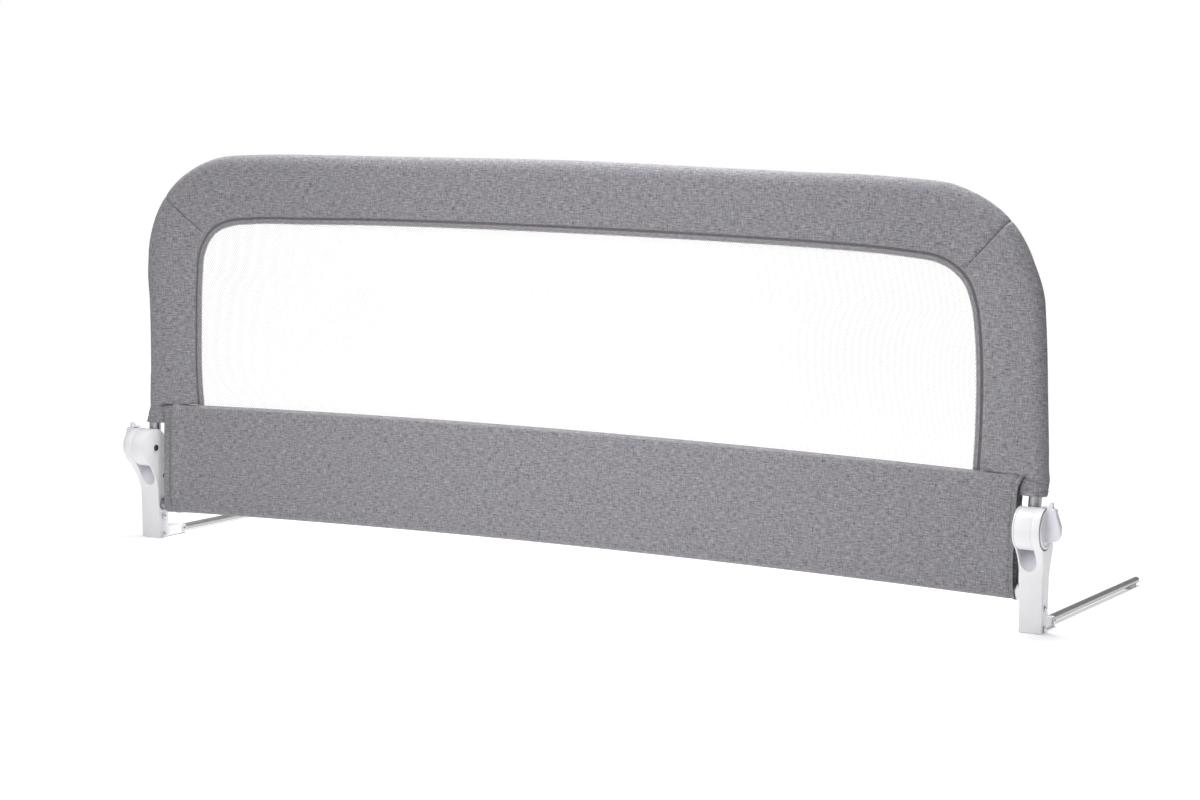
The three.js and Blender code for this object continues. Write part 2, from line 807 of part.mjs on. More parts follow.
// Foot bracket: a sheet-steel channel, web on top, with two upright tabs inside the leg
function footBracket() {
  const side = polygon([
    [-bracketFront, 0],
    [bracketReach - bracketNose, 0],
    [bracketReach, bracketNose],
    [bracketReach, bracketEndHeight - bracketNose],
    [bracketReach - bracketNose, bracketEndHeight],
    [bracketWebEnd, bracketHeight],
    [legBackAtFoot - legWall - clearance, bracketHeight],
    [legBackAtFoot - legWall - clearance, bracketTabTop],
    [-bracketFront, bracketTabTop],
  ]);
  const innerWall = bracketInner + bracketSheet;
  const outerWall = bracketOuter - bracketSheet;
  const solid = prismX(side, bracketInner, bracketOuter);
  const past = bracketReach + cutOverrun;
  const front = -bracketFront - cutOverrun;
  const channel = block(innerWall, outerWall, front, past, -cutOverrun, bracketHeight - bracketSheet);
  const openEnd = block(innerWall, outerWall, bracketWebEnd, past, 0, bracketHeight + cutOverrun);
  const tabsApart = block(
    innerWall, outerWall, front, legBackAtFoot - legWall, 0, bracketTabTop + cutOverrun,
  );
  const slot = block(
    tubePlace - slotWidth / 2, tubePlace + slotWidth / 2,
    slotSetback - slotLength / 2, slotSetback + slotLength / 2, 0, bracketHeight + cutOverrun,
  );
  return shaped(solid, [], [
    channel,
    openEnd,
    tabsApart,
    slot,
    crossHole(boltRadius + clearance, boltSetback, upperBoltHeight),
    crossHole(boltRadius + clearance, boltSetback, lowerBoltHeight),
    crossHole(rivetRadius + clearance, armPivotSetback, armAxisHeight),
  ]);
}

// A fastener along X with a head at each end, seated on the two faces that it holds
function headedPin(radius, headRadiusHere, headLength, fromX, toX, y, z) {
  const shank = rodX(radius, fromX - clearance, toX + clearance, y, z, smallSides);
  const near = rodX(headRadiusHere, fromX - clearance - headLength, fromX - clearance, y, z, smallSides);
  const far = rodX(headRadiusHere, toX + clearance, toX + clearance + headLength, y, z, smallSides);
  return shaped(shank, [near, far], []);
}

function legBolt(height) {
  return headedPin(
    boltRadius, boltHeadRadius, boltHeadLength, legInnerFace, legOuterFace, boltSetback, height,
  );
}

function shellScrew() {
  const headFrom = legInnerFace + clearance;
  const headTo = headFrom + screwHeadLength;
  const head = rodX(screwHeadRadius, headFrom, headTo, boltSetback, screwHeight, smallSides);
  const shank = rodX(screwRadius, headFrom, screwEnd, boltSetback, screwHeight, smallSides);
  return shaped(shank, [head], []);
}

function armRivet() {
  return headedPin(
    rivetRadius, rivetHeadRadius, rivetHeadLength, bracketInner, bracketOuter,
    armPivotSetback, armAxisHeight,
  );
}

// Support arm: a knuckle on the rivet, with a spigot inside the tube
function armKnuckle() {
  const halfWidth = bracketWidth / 2 - bracketSheet - knuckleGap;
  const outline = new THREE.Shape();
  const front = armPivotSetback + knuckleLength;
  outline.moveTo(front, armAxisHeight - knuckleRadius);
  outline.lineTo(front, armAxisHeight + knuckleRadius);
  outline.lineTo(armPivotSetback, armAxisHeight + knuckleRadius);
  outline.absarc(armPivotSetback, armAxisHeight, knuckleRadius, Math.PI / 2, (3 * Math.PI) / 2);
  outline.closePath();
  const body = prismX(outline, tubePlace - halfWidth, tubePlace + halfWidth);
  const spigotRadius = armTubeRadius - armTubeWall - clearance;
  const spigotFrom = armPivotSetback + rivetRadius + 2 * clearance;
  const spigot = rodY(spigotRadius, spigotFrom, front + spigotLength, tubePlace, armAxisHeight);
  return shaped(body, [spigot], [crossHole(rivetRadius + clearance, armPivotSetback, armAxisHeight)]);
}

function armTube() {
  const from = armPivotSetback + knuckleLength + clearance;
  const to = armEnd - plugLip - clearance;
  const outer = rodY(armTubeRadius, from, to, tubePlace, armAxisHeight);
  const bore = rodY(
    armTubeRadius - armTubeWall, from - cutOverrun, to + cutOverrun, tubePlace, armAxisHeight,
  );
  return shaped(outer, [], [bore]);
}

function armPlug() {
  const lip = rodY(armTubeRadius, armEnd - plugLip, armEnd, tubePlace, armAxisHeight);
  const stubRadius = armTubeRadius - armTubeWall - clearance;
  const stub = rodY(
    stubRadius, armEnd - plugLip - plugStub, armEnd - plugLip / 2, tubePlace, armAxisHeight,
  );
  return shaped(lip, [stub], []);
}

// The arm's foot: a soft pad under the tube, hollowed to fit it
function armPad() {
  const to = armEnd - plugLip - armPadSetback;
  const from = to - armPadLength;
  const half = armPadWidth / 2;
  const pad = block(tubePlace - half, tubePlace + half, from, to, 0, armPadHeight);
  const saddle = rodY(
    armTubeRadius + armPadGap, from - cutOverrun, to + cutOverrun, tubePlace, armAxisHeight,
  );
  return shaped(pad, [], [saddle]);
}

// Assembly
const guardRail = new THREE.Group();
guardRail.position.y = -footprintCentre;

function place(parent, name, geometry, finish) {
  const mesh = new THREE.Mesh(geometry, new THREE.MeshStandardMaterial(finish));
  mesh.name = name;
  parent.add(mesh);
}

const legPieces = [
  ["leg_outer_shell", outerShell(), whitePlastic],
  ["leg_inner_shell", innerShell(), whitePlastic],
  ["hinge_hub", hub(), whitePlastic],
  ["pivot_bolt", axle(), darkSteel],
  ["release_spring", releaseSpring(), zincSteel],
  ["clamp_ring", clampRing(), knobPlastic],
  ["wing_knob", wingKnob(), knobPlastic],
  ["tube_pin", tubePin(), zincSteel],
  ["foot_bracket", footBracket(), bracketSteel],
  ["upper_leg_bolt", legBolt(upperBoltHeight), zincSteel],
  ["lower_leg_bolt", legBolt(lowerBoltHeight), zincSteel],
  ["shell_screw", shellScrew(), darkSteel],
  ["arm_rivet", armRivet(), zincSteel],
  ["arm_knuckle", armKnuckle(), bracketSteel],
  ["arm_tube", armTube(), armSteel],
  ["arm_end_plug", armPlug(), armSteel],
  ["arm_foot", armPad(), paleRubber],
  ["corner_tube", cornerTube(), railSteel],
];

for (const [side, mirror] of [["left", -1], ["right", 1]]) {
  const leg = new THREE.Group();
  leg.scale.x = mirror;
  for (const [name, geometry, finish] of legPieces) place(leg, `${side}_${name}`, geometry, finish);
  const seamDegrees = side === "left" ? leftSeamDegrees : rightSeamDegrees;
  place(leg, `${side}_cover_sleeve`, sideCover(seamDegrees), greyCloth);
  guardRail.add(leg);
}

place(guardRail, "top_tube", topTube(), railSteel);
place(guardRail, "lower_tube_left", lowerTubeLeft(), railSteel);
place(guardRail, "lower_tube_right", lowerTubeRight(), railSteel);
place(guardRail, "lower_tube_collar", tubeCollar(), whitePlastic);
place(guardRail, "top_cover_sleeve", topCover(), greyCloth);
place(guardRail, "window_binding", windowBinding(), bindingCloth);
place(guardRail, "net_window", netWindow(), netCloth);
place(guardRail, "lower_panel", lowerPanel(), greyCloth);

export default guardRail;
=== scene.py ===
"""Dresses a folding bed guard rail: cloth, net window, tubes, hinged legs, knobs and arms.

Sizes are in millimetres in the rail's own axes: x along the rail, y from the cover's plane towards
the bed, z up from the floor. The helper `at` turns them into the frame's metres.
"""

import json
import logging
import math
from collections.abc import Callable, Iterator, Sequence
from contextlib import contextmanager
from dataclasses import dataclass
from enum import Enum

import bmesh
import bpy
from mathutils import Matrix, Vector, noise

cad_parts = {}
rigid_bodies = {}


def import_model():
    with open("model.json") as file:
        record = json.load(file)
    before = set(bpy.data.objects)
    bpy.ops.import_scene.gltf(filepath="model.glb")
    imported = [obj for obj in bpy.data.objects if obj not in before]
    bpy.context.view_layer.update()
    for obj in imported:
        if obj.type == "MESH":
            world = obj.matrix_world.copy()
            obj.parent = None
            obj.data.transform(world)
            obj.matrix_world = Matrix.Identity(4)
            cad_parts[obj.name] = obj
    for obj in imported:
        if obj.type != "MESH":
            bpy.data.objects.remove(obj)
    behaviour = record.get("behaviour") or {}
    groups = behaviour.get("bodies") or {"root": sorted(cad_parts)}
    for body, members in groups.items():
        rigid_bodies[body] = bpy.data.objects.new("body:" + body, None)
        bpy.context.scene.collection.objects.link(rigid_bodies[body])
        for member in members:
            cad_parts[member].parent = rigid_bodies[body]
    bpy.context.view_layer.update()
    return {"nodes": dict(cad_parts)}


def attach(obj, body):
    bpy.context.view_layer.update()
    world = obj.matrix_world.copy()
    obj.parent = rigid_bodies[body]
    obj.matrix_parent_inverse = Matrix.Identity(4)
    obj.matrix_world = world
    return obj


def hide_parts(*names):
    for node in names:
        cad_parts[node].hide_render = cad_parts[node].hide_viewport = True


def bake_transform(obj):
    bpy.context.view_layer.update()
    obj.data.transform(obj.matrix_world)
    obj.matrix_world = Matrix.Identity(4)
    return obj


for leftover in list(bpy.data.objects):
    bpy.data.objects.remove(leftover)
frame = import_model()

Colour = tuple[float, float, float, float]
Knots = tuple[tuple[float, float], ...]

LOG = logging.getLogger("guard_rail")
MM = 0.001
WELD = 1e-6
WEAVE_MAP = "Weave"
RAIL_PLANE = -183.0
BOW_RISE = 10.0
BOW_HALF_SPAN = 627.5
COLUMN = 640.0
PIVOT_Y, PIVOT_Z = -16.0, 128.0
LOWER_TUBE_Y, LOWER_TUBE_Z = 3.0, 48.0
WHITE: Colour = (1, 1, 1, 1)


class Side(Enum):
    """The two ends of the rail, as the sign of their x."""

    LEFT = -1
    RIGHT = 1

    @property
    def label(self) -> str:
        """The word that starts the names of this end's pieces."""
        return self.name.lower()

    @classmethod
    def of(cls, x: float) -> "Side":
        """The end on x's side of the middle."""
        return cls.RIGHT if x > 0 else cls.LEFT


def at(x: float, y: float, z: float) -> Vector:
    """A place in the rail's millimetres as a point of the frame, in metres."""
    return Vector((x, y + RAIL_PLANE, z)) * MM


def bow(x: float) -> float:
    """How far the long pieces rise at x, in millimetres."""
    return BOW_RISE * max(0.0, 1 - (x / BOW_HALF_SPAN) ** 2)


def bell(away: float, width: float) -> float:
    """A smooth hump: 1 in its middle, and near 0 at twice its width."""
    return math.exp(-((away / width) ** 2))


def ray(angle: float) -> Vector:
    """The unit vector at an angle in radians."""
    return Vector((math.cos(angle), math.sin(angle)))


def between(
    start: tuple[float, float], end: tuple[float, float], steps: int
) -> list[tuple[float, float]]:
    """Points of a straight run in equal steps, without its start."""
    (a, b), (c, d) = start, end
    return [(a + (c - a) * share, b + (d - b) * share) for share in evenly(0, 1, steps)[1:]]


def evenly(start: float, end: float, steps: int) -> list[float]:
    """Values from start to end in equal steps, both ends included."""
    return [start + (end - start) * i / steps for i in range(steps + 1)]


def along_knots(knots: Sequence[tuple[float, float]], run: float) -> float:
    """A smooth curve through knots of run and value, level before the first and after the last."""
    if run <= knots[0][0]:
        return knots[0][1]
    for i in range(1, len(knots)):
        (low, a), (high, b) = knots[i - 1], knots[i]
        if run <= high:
            before = knots[max(i - 2, 0)]
            after = knots[min(i + 1, len(knots) - 1)]
            share = (run - low) / (high - low)
            rise = (b - before[1]) / (high - before[0]) * (high - low) if i > 1 else 0.0
            fall = (after[1] - a) / (after[0] - low) * (high - low) if i < len(knots) - 1 else 0.0
            square, cube = share * share, share**3
            return (
                (2 * cube - 3 * square + 1) * a + (cube - 2 * square + share) * rise
                + (3 * square - 2 * cube) * b + (cube - square) * fall
            )
    return knots[-1][1]


@dataclass(frozen=True)
class Edge:
    """A rounded edge of the hoop, and how far its cloth stands off the plain outline.

    A run starts at the floor, goes up the side, round the corner and along the top to the middle.
    """

    half: float
    top: float
    radius: float
    right_drift: Knots
    left_drift: Knots

    def drift(self, side: Side, run: float) -> float:
        """How far outwards the edge stands at a run from that side's foot."""
        return along_knots(self.right_drift if side is Side.RIGHT else self.left_drift, run)

    def run_at(self, angle: float) -> float:
        """The run at one angle of the corner, in radians up from the side."""
        return self.top - self.radius + self.radius * angle

    def up(self, side: Side, z: float) -> Vector:
        """A point of the straight side, with x counted outwards."""
        return Vector((self.half + self.drift(side, z), z))

    def round(self, side: Side, angle: float) -> Vector:
        """A point of the corner, with x counted outwards."""
        reach = self.radius + self.drift(side, self.run_at(angle))
        return Vector((
            self.half - self.radius + reach * math.cos(angle),
            self.top - self.radius + reach * math.sin(angle),
        ))

    def over(self, side: Side, x: float) -> Vector:
        """A point of the top, with x counted outwards."""
        run = self.run_at(math.pi / 2) + self.half - self.radius - x
        return Vector((x, self.top + self.drift(side, run)))


RIM = Edge(
    half=650.0,
    top=530.0,
    radius=138.0,
    right_drift=(
        (162, 4.0), (168, 5.8), (176, 6.6), (186, 7.0), (197, 6.0), (225, 4.9), (280, 1.9),
        (340, -1.4), (392, -5.6), (440, -10.8), (465, -10.4), (505, -8.0), (540, -6.6),
        (575, -4.6), (609, -0.6), (650, 1.2), (720, 2.3), (780, 1.3), (900, 1.0), (1020, 2.0),
        (1121, 2.6),
    ),
    left_drift=(
        (162, 1.6), (168, 0.1), (175, -1.2), (183, -3.9), (188, -4.5), (197, -3.8), (225, -4.1),
        (280, -3.3), (330, -1.4), (365, 1.6), (392, 0.9), (430, 0.0), (500, -0.6), (545, -2.0),
        (590, -1.3), (625, 0.2), (680, 1.6), (760, 1.4), (900, 1.2), (1020, 2.0), (1121, 2.6),
    ),
)
SILL = Edge(
    half=560.0,
    top=440.0,
    radius=64.0,
    right_drift=(
        (190, 1.4), (230, 2.5), (285, 2.3), (325, 0.5), (352, -1.9), (376, -5.2), (392, -7.3),
        (415, -6.8), (440, -6.7), (466, -5.8), (477, -4.9), (500, -3.4), (535, -1.6),
        (580, -0.6), (680, 0.0), (973, 0.4),
    ),
    left_drift=(
        (190, -1.2), (215, 1.2), (245, 3.0), (300, 3.5), (350, 3.2), (376, 1.8), (400, 2.1),
        (424, 2.2), (440, 0.3), (455, -2.2), (477, -3.1), (500, -1.6), (535, -0.9),
        (570, -1.1), (680, 0.2), (973, 0.4),
    ),
)


# Socket maths


def operator(operation: str, turned: bool = False) -> Callable[["Term", object], "Term"]:
    """Makes an operator of the class Term.

    Args:
        operation: The Math node's operation.
        turned: Whether the other value comes first, as the reflected forms need.

    Returns:
        The method, which takes a term and a term or number.
    """

    def method(term: "Term", other: "Term | float") -> "Term":
        """Runs both values through the Math node."""
        return joined(term.tree, operation, *((other, term) if turned else (term, other)))

    return method


class Term:
    """A value inside a node tree that can be used in Python expressions."""

    __add__ = operator("ADD")
    __radd__ = operator("ADD", turned=True)
    __sub__ = operator("SUBTRACT")
    __rsub__ = operator("SUBTRACT", turned=True)
    __mul__ = operator("MULTIPLY")
    __rmul__ = operator("MULTIPLY", turned=True)
    __truediv__ = operator("DIVIDE")
    __pow__ = operator("POWER")
    __gt__ = operator("GREATER_THAN")
    __lt__ = operator("LESS_THAN")

    def __init__(self, tree: bpy.types.NodeTree, socket: bpy.types.NodeSocket) -> None:
        """Wraps one output socket of a tree."""
        self.tree = tree
        self.socket = socket

    def through(self, operation: str, *others: "Term | float") -> "Term":
        """Runs this value through a Math node.

        Args:
            operation: The Math node's operation.
            others: The further inputs, in order.

        Returns:
            The node's result.
        """
        return joined(self.tree, operation, self, *others)

    def __abs__(self) -> "Term":
        """This value without its sign."""
        return self.through("ABSOLUTE")

    def positive(self) -> "Term":
        """This value, or 0 where it's less."""
        return self.through("MAXIMUM", 0.0)

    def capped(self) -> "Term":
        """This value, or 1 where it's more."""
        return self.through("MINIMUM", 1.0)


def joined(tree: bpy.types.NodeTree, operation: str, *values: Term | float) -> Term:
    """Adds a Math node to a tree.

    Args:
        tree: The tree that gets the node.
        operation: The node's operation.
        values: Its inputs, as terms or numbers.

    Returns:
        The node's result.
    """
    node = tree.nodes.new("ShaderNodeMath")
    node.operation = operation
    for socket, value in zip(node.inputs, values):
        if isinstance(value, Term):
            tree.links.new(value.socket, socket)
        else:
            socket.default_value = value
    return Term(tree, node.outputs[0])


class Graph:
    """A node tree under construction."""

    def __init__(self, tree: bpy.types.NodeTree) -> None:
        """Takes the tree that gets the nodes."""
        self.tree = tree

    def node(
        self, kind: str, settings: dict | None = None, inputs: dict | None = None
    ) -> bpy.types.Node:
        """Adds a node.

        Args:
            kind: The node's type name.
            settings: Properties set before its sockets are used.
            inputs: Values, terms or sockets by input name.

        Returns:
            The new node.
        """
        made = self.tree.nodes.new(kind)
        for key, value in (settings or {}).items():
            setattr(made, key, value)
        for key, value in (inputs or {}).items():
            self.feed(made.inputs[key], value)
        return made

    def feed(self, socket: bpy.types.NodeSocket, value: object) -> None:
        """Links or sets one input socket."""
        if isinstance(value, Term):
            value = value.socket
        if isinstance(value, bpy.types.NodeSocket):
            self.tree.links.new(value, socket)
        else:
            socket.default_value = value

    def term(self, node: bpy.types.Node, output: str | int = 0) -> Term:
        """One output of a node as a term."""
        return Term(self.tree, node.outputs[output])


class Coat(Graph):
    """A material under construction: one Principled shader and the nodes that feed it."""

    def __init__(self, name: str) -> None:
        """Starts an empty material of that name."""
        self.material = bpy.data.materials.new(name)
        self.material.use_nodes = True
        super().__init__(self.material.node_tree)
        self.shader = self.tree.nodes["Principled BSDF"]

    def give(self, **values: object) -> None:
        """Links or sets the shader's inputs, with underscores for the spaces in their names."""
        for key, value in values.items():
            self.feed(self.shader.inputs[key.replace("_", " ")], value)

    def axes(self, uv: bool = False) -> tuple[Term, Term, Term]:
        """The surface's coordinates: metres in the object's axes, or the piece's weave map."""
        if uv:
            source = self.node("ShaderNodeUVMap", {"uv_map": WEAVE_MAP}).outputs["UV"]
        else:
            source = self.node("ShaderNodeTexCoord").outputs["Object"]
        split = self.node("ShaderNodeSeparateXYZ", inputs={"Vector": source})
        return self.term(split, 0), self.term(split, 1), self.term(split, 2)

    def noise(
        self, x: object, y: object, z: object, detail: float = 2.0, rough: float = 0.5
    ) -> Term:
        """Noise of unit scale at a point whose three coordinates are given."""
        point = self.node("ShaderNodeCombineXYZ", inputs={"X": x, "Y": y, "Z": z})
        made = self.node("ShaderNodeTexNoise", inputs={
            "Vector": point.outputs[0], "Scale": 1.0, "Detail": detail, "Roughness": rough,
        })
        return self.term(made, "Fac")

    def blend(self, share: Term, low: object, high: object) -> bpy.types.NodeSocket:
        """A colour between two colours."""
        mix = self.node("ShaderNodeMix", {"data_type": "RGBA"})
        self.feed(mix.inputs[0], share)
        self.feed(mix.inputs[6], low)
        self.feed(mix.inputs[7], high)
        return mix.outputs[2]

    def scaled(self, colour: object, share: Term) -> bpy.types.NodeSocket:
        """A colour made lighter or darker by a value near 1."""
        made = self.node("ShaderNodeVectorMath", {"operation": "SCALE"})
        self.feed(made.inputs[0], colour[:3] if isinstance(colour, tuple) else colour)
        self.feed(made.inputs["Scale"], share)
        return made.outputs[0]

    def bump(self, height: Term, distance: float, strength: float = 1.0) -> None:
        """Feeds the shader's normal with a height in units of distance, which is in metres."""
        made = self.node(
            "ShaderNodeBump", inputs={"Height": height, "Distance": distance, "Strength": strength}
        )
        self.give(Normal=made.outputs["Normal"])


# Finishes


@dataclass(frozen=True)
class ClothFinish:
    """A melange plain weave: pale and dark slubs both ways over a fine thread grid."""

    name: str
    warm: Colour = (0.286, 0.265, 0.290, 1)
    cool: Colour = (0.262, 0.266, 0.283, 1)
    slub_contrast: float = 1.5
    warp_share: float = 0.8
    streak_contrast: float = 2.2
    thread_pitch: float = 0.85
    slub_length: float = 8.0
    slub_width: float = 1.4
    relief: float = 0.22
    sheen: float = 0.3

    def build(self) -> bpy.types.Material:
        """Makes the material."""
        coat = Coat(self.name)
        u, v, _ = coat.axes(uv=True)
        along, across = 1000 / self.slub_length, 1000 / self.slub_width
        weft = coat.noise(u * along, v * across, 0.0, 1.5, 0.6)
        warp = coat.noise(u * across, v * along, 7.0, 1.5, 0.6)
        streak = coat.noise(u * (along * 0.6), v * (across * 0.8), 11.0, 1.0)
        drop = coat.noise(u * (across * 0.8), v * (along * 0.7), 17.0, 1.0)
        patch = coat.noise(u * 38, v * 38, 3.0, 3.0, 0.6)
        turn = 2000 * math.pi / self.thread_pitch
        grid = (u * turn).through("SINE") * (v * turn).through("SINE")
        slubs = (weft - 0.5) + (warp - 0.5) * self.warp_share
        pale = (streak - 0.60).positive() + (drop - 0.64).positive()
        dark = (0.38 - streak).positive() + (0.36 - drop).positive()
        shade = 1 + slubs * self.slub_contrast + (pale - dark) * self.streak_contrast
        shade = shade + (patch - 0.5) * 0.10 + grid * 0.05
        tone = coat.blend(patch, self.warm, self.cool)
        coat.give(Base_Color=coat.scaled(tone, shade))
        coat.bump(grid * 0.5 + slubs, self.relief * MM)
        coat.give(
            Roughness=0.93, Sheen_Weight=self.sheen, Sheen_Roughness=0.45,
            Sheen_Tint=WHITE, Specular_IOR_Level=0.18,
        )
        return coat.material


@dataclass(frozen=True)
class TapeFinish:
    """A binding of the cover's own cloth, overlocked along the net and sewn down in a groove,
    which is darkened with painted shade.

    The map's v is the place across the tape from the window outwards, in metres.
    """

    name: str
    colour: Colour = (0.286, 0.272, 0.292, 1)
    # groove_from and groove_to bound the band of painted shade in the seam's groove, in mm.
    groove_from: float = 5.0
    groove_to: float = 9.0
    groove_depth: float = 0.50
    hatch_pitch: float = 2.1
    relief: float = 0.2

    def build(self) -> bpy.types.Material:
        """Makes the material."""
        coat = Coat(self.name)
        u, v, _ = coat.axes(uv=True)
        across = v * 1000
        slub = coat.noise(u * 150, v * 650, 2.0, 2.0, 0.6)
        fibre = coat.noise(u * 900, v * 900, 5.0, 1.0)
        hatch = ((u * 1000 + across * 0.5) * (2 * math.pi / self.hatch_pitch)).through("SINE")
        open_edge = 1 - (across / self.groove_from).capped()
        into = ((across - self.groove_from) * 1.6).positive().capped()
        out_of = ((self.groove_to - across) * 1.6).positive().capped()
        groove = into * out_of
        shade = 1 + (slub - 0.5) * 1.3 + (fibre - 0.5) * 0.35 + hatch * (0.07 + open_edge * 0.1)
        # Painted shade: the band across the seam's groove is darkened.
        shade = shade * (1 - groove * self.groove_depth)
        coat.give(Base_Color=coat.scaled(self.colour, shade))
        coat.bump(hatch * 0.5 + slub, self.relief * MM)
        coat.give(Roughness=0.93, Sheen_Weight=0.2, Specular_IOR_Level=0.18)
        return coat.material


@dataclass(frozen=True)
class ThreadFinish:
    """Twisted sewing thread."""

    name: str
    colour: Colour = (0.215, 0.205, 0.222, 1)

    def build(self) -> bpy.types.Material:
        """Makes the material."""
        coat = Coat(self.name)
        x, y, z = coat.axes()
        twist = ((x + y + z) * (2000 * math.pi / 0.7)).through("SINE")
        coat.give(Base_Color=coat.scaled(self.colour, 1 + twist * 0.15))
        coat.bump(twist, 0.06 * MM)
        coat.give(Roughness=0.7, Sheen_Weight=0.2)
        return coat.material


@dataclass(frozen=True)
class NetFinish:
    """A fine white knitted net whose holes let the view through."""

    name: str
    pitch: float = 2.6
    strand: float = 0.30
    colour: Colour = (0.93, 0.93, 0.925, 1)

    def build(self) -> bpy.types.Material:
        """Makes the material."""
        coat = Coat(self.name)
        u, v, _ = coat.axes(uv=True)
        turn = 1000 / self.pitch
        rising = ((u * 0.86 + v * 0.5) * turn).through("FRACT")
        falling = ((u * 0.86 - v * 0.5) * turn).through("FRACT")
        near = abs(rising - 0.5).through("MAXIMUM", abs(falling - 0.5))
        strand = near > 0.5 - self.strand / 2
        fibre = coat.noise(u * 2500, v * 2500, 1.0)
        coat.give(Base_Color=coat.scaled(self.colour, 0.95 + fibre * 0.1))
        coat.give(Alpha=strand * 0.72 + 0.03)
        coat.give(Roughness=0.8, Sheen_Weight=0.2)
        return coat.material


@dataclass(frozen=True)
class PlasticFinish:
    """Moulded plastic with a faint flow mottle and a soft sheen.

    The legs add painted shade: a dark ring in the gap round the knob, and darker plastic in the
    bay below the drum. The bay is a leaning cylinder in the leg's front, given by one point of its
    axis, measured back and up from the pivot, and by the cosine and sine of its lean.
    """

    name: str
    colour: Colour = (0.83, 0.822, 0.845, 1)
    roughness: float = 0.36
    relief: float = 0.05
    coat_weight: float = 0.12
    # The ring fields place a painted shade: a dark ring on the leg's face in the gap round the
    # knob.
    ring: tuple[float, float] | None = None
    ring_colour: Colour = (0.10, 0.075, 0.07, 1)
    ring_face: float = 659.4
    # The pocket and shade fields place painted shade in the bay below the drum.
    pocket_colour: Colour = (0.30, 0.31, 0.38, 1)
    pocket_axis: tuple[float, float] = (-7.5, -52.0)
    pocket_lean: tuple[float, float] = (0.860, 0.510)
    pocket_reach_squared: float = 117.0
    drum_reach: float = 26.2
    pocket_shade: float = 0.18
    shade_from: float = 80.0
    shade_rise: float = 0.014
    shade_aside: float = 0.012

    def build(self) -> bpy.types.Material:
        """Makes the material."""
        coat = Coat(self.name)
        x, y, z = coat.axes()
        flow = coat.noise(x * 90, y * 90, z * 45, 3.0, 0.55)
        pebble = coat.noise(x * 1400, y * 1400, z * 1400, 1.0)
        scuff = coat.noise(x * 260, y * 260, z * 620, 4.0, 0.7) > 0.70
        tone = coat.scaled(self.colour, 0.985 + (flow - 0.5) * 0.05 - scuff * 0.02)
        if self.ring:
            tone = self.leg_marks(coat, tone, x, y, z)
        coat.give(Base_Color=tone)
        coat.give(Roughness=self.roughness + (flow - 0.5) * 0.12 + scuff * 0.1)
        coat.bump(pebble, self.relief * MM, 0.5)
        coat.give(Coat_Weight=self.coat_weight, Coat_Roughness=0.25, Specular_IOR_Level=0.5)
        return coat.material

    def leg_marks(
        self, coat: Coat, tone: bpy.types.NodeSocket, x: Term, y: Term, z: Term
    ) -> bpy.types.NodeSocket:
        """Adds painted shade in the gap round the knob and in the bay below the drum.

        Args:
            coat: The material.
            tone: The plastic's own colour.
            x: The place along the rail, in metres.
            y: The place across it.
            z: The height.

        Returns:
            The colour with both painted shades.
        """
        # Painted shade: a dark ring on the leg's face in the gap round the knob.
        low, high = self.ring
        over, back = z * 1000 - PIVOT_Z, y * 1000 - (RAIL_PLANE + PIVOT_Y)
        away = (over * over + back * back) ** 0.5
        inside = (away > low) * (away < high)
        on_face = abs(x) > self.ring_face * MM
        tone = coat.blend(inside * on_face, tone, self.ring_colour)
        # Painted shade in the bay below the drum: stronger higher up and towards the rail's middle.
        aside = abs(x) * 1000 - COLUMN
        (axis_back, axis_over), (cosine, sine) = self.pocket_axis, self.pocket_lean
        deep = ((back - axis_back) * cosine - (over - axis_over) * sine).positive()
        pocket = aside * aside + deep * deep < self.pocket_reach_squared
        below = away > self.drum_reach
        rise = ((z * 1000 - self.shade_from) * self.shade_rise).positive()
        shadow = self.pocket_shade + rise - aside * self.shade_aside
        return coat.blend(pocket * below * shadow, tone, self.pocket_colour)


@dataclass(frozen=True)
class MetalFinish:
    """Drawn or plated metal with fine lines along one axis."""

    name: str
    colour: Colour = (0.62, 0.62, 0.63, 1)
    metallic: float = 1.0
    roughness: float = 0.3
    stretch: tuple[float, float, float] = (1500.0, 12.0, 1500.0)
    tarnish: float = 0.12
    relief: float = 0.02
    # A painted contact shadow: the colour is darker below this height in mm, by the share below.
    bare_below: float = 0.0
    bare_shade: float = 0.55

    def build(self) -> bpy.types.Material:
        """Makes the material."""
        coat = Coat(self.name)
        x, y, z = coat.axes()
        along_x, along_y, along_z = self.stretch
        lines = coat.noise(x * along_x, y * along_y, z * along_z, 3.0, 0.6)
        cloud = coat.noise(x * 60, y * 60, z * 60, 3.0, 0.6)
        shade = 1 + (lines - 0.5) * 0.25 + (cloud - 0.5) * self.tarnish * 2
        # Painted contact shadow along the bottom edge.
        if self.bare_below:
            shade = shade - self.bare_shade * (z < self.bare_below * MM)
        coat.give(Base_Color=coat.scaled(self.colour, shade))
        coat.give(Roughness=self.roughness + (lines - 0.5) * 0.2 + (cloud - 0.5) * 0.15)
        coat.bump(lines, self.relief * MM, 0.4)
        coat.give(Metallic=self.metallic)
        return coat.material


@dataclass(frozen=True)
class RubberFinish:
    """Matt pale rubber with a fine grain."""

    name: str
    colour: Colour = (0.56, 0.56, 0.58, 1)

    def build(self) -> bpy.types.Material:
        """Makes the material."""
        coat = Coat(self.name)
        x, y, z = coat.axes()
        grain = coat.noise(x * 1800, y * 1800, z * 1800, 2.0)
        dust = coat.noise(x * 150, y * 150, z * 150, 3.0, 0.65)
        coat.give(Base_Color=coat.scaled(self.colour, 0.9 + dust * 0.2))
        coat.give(Roughness=0.68 + dust * 0.2)
        coat.bump(grain, 0.05 * MM, 0.6)
        return coat.material


@dataclass(frozen=True)
class Finish:
    """A built material and the name of the record's material slot that it belongs to."""

    material: bpy.types.Material
    slot: str


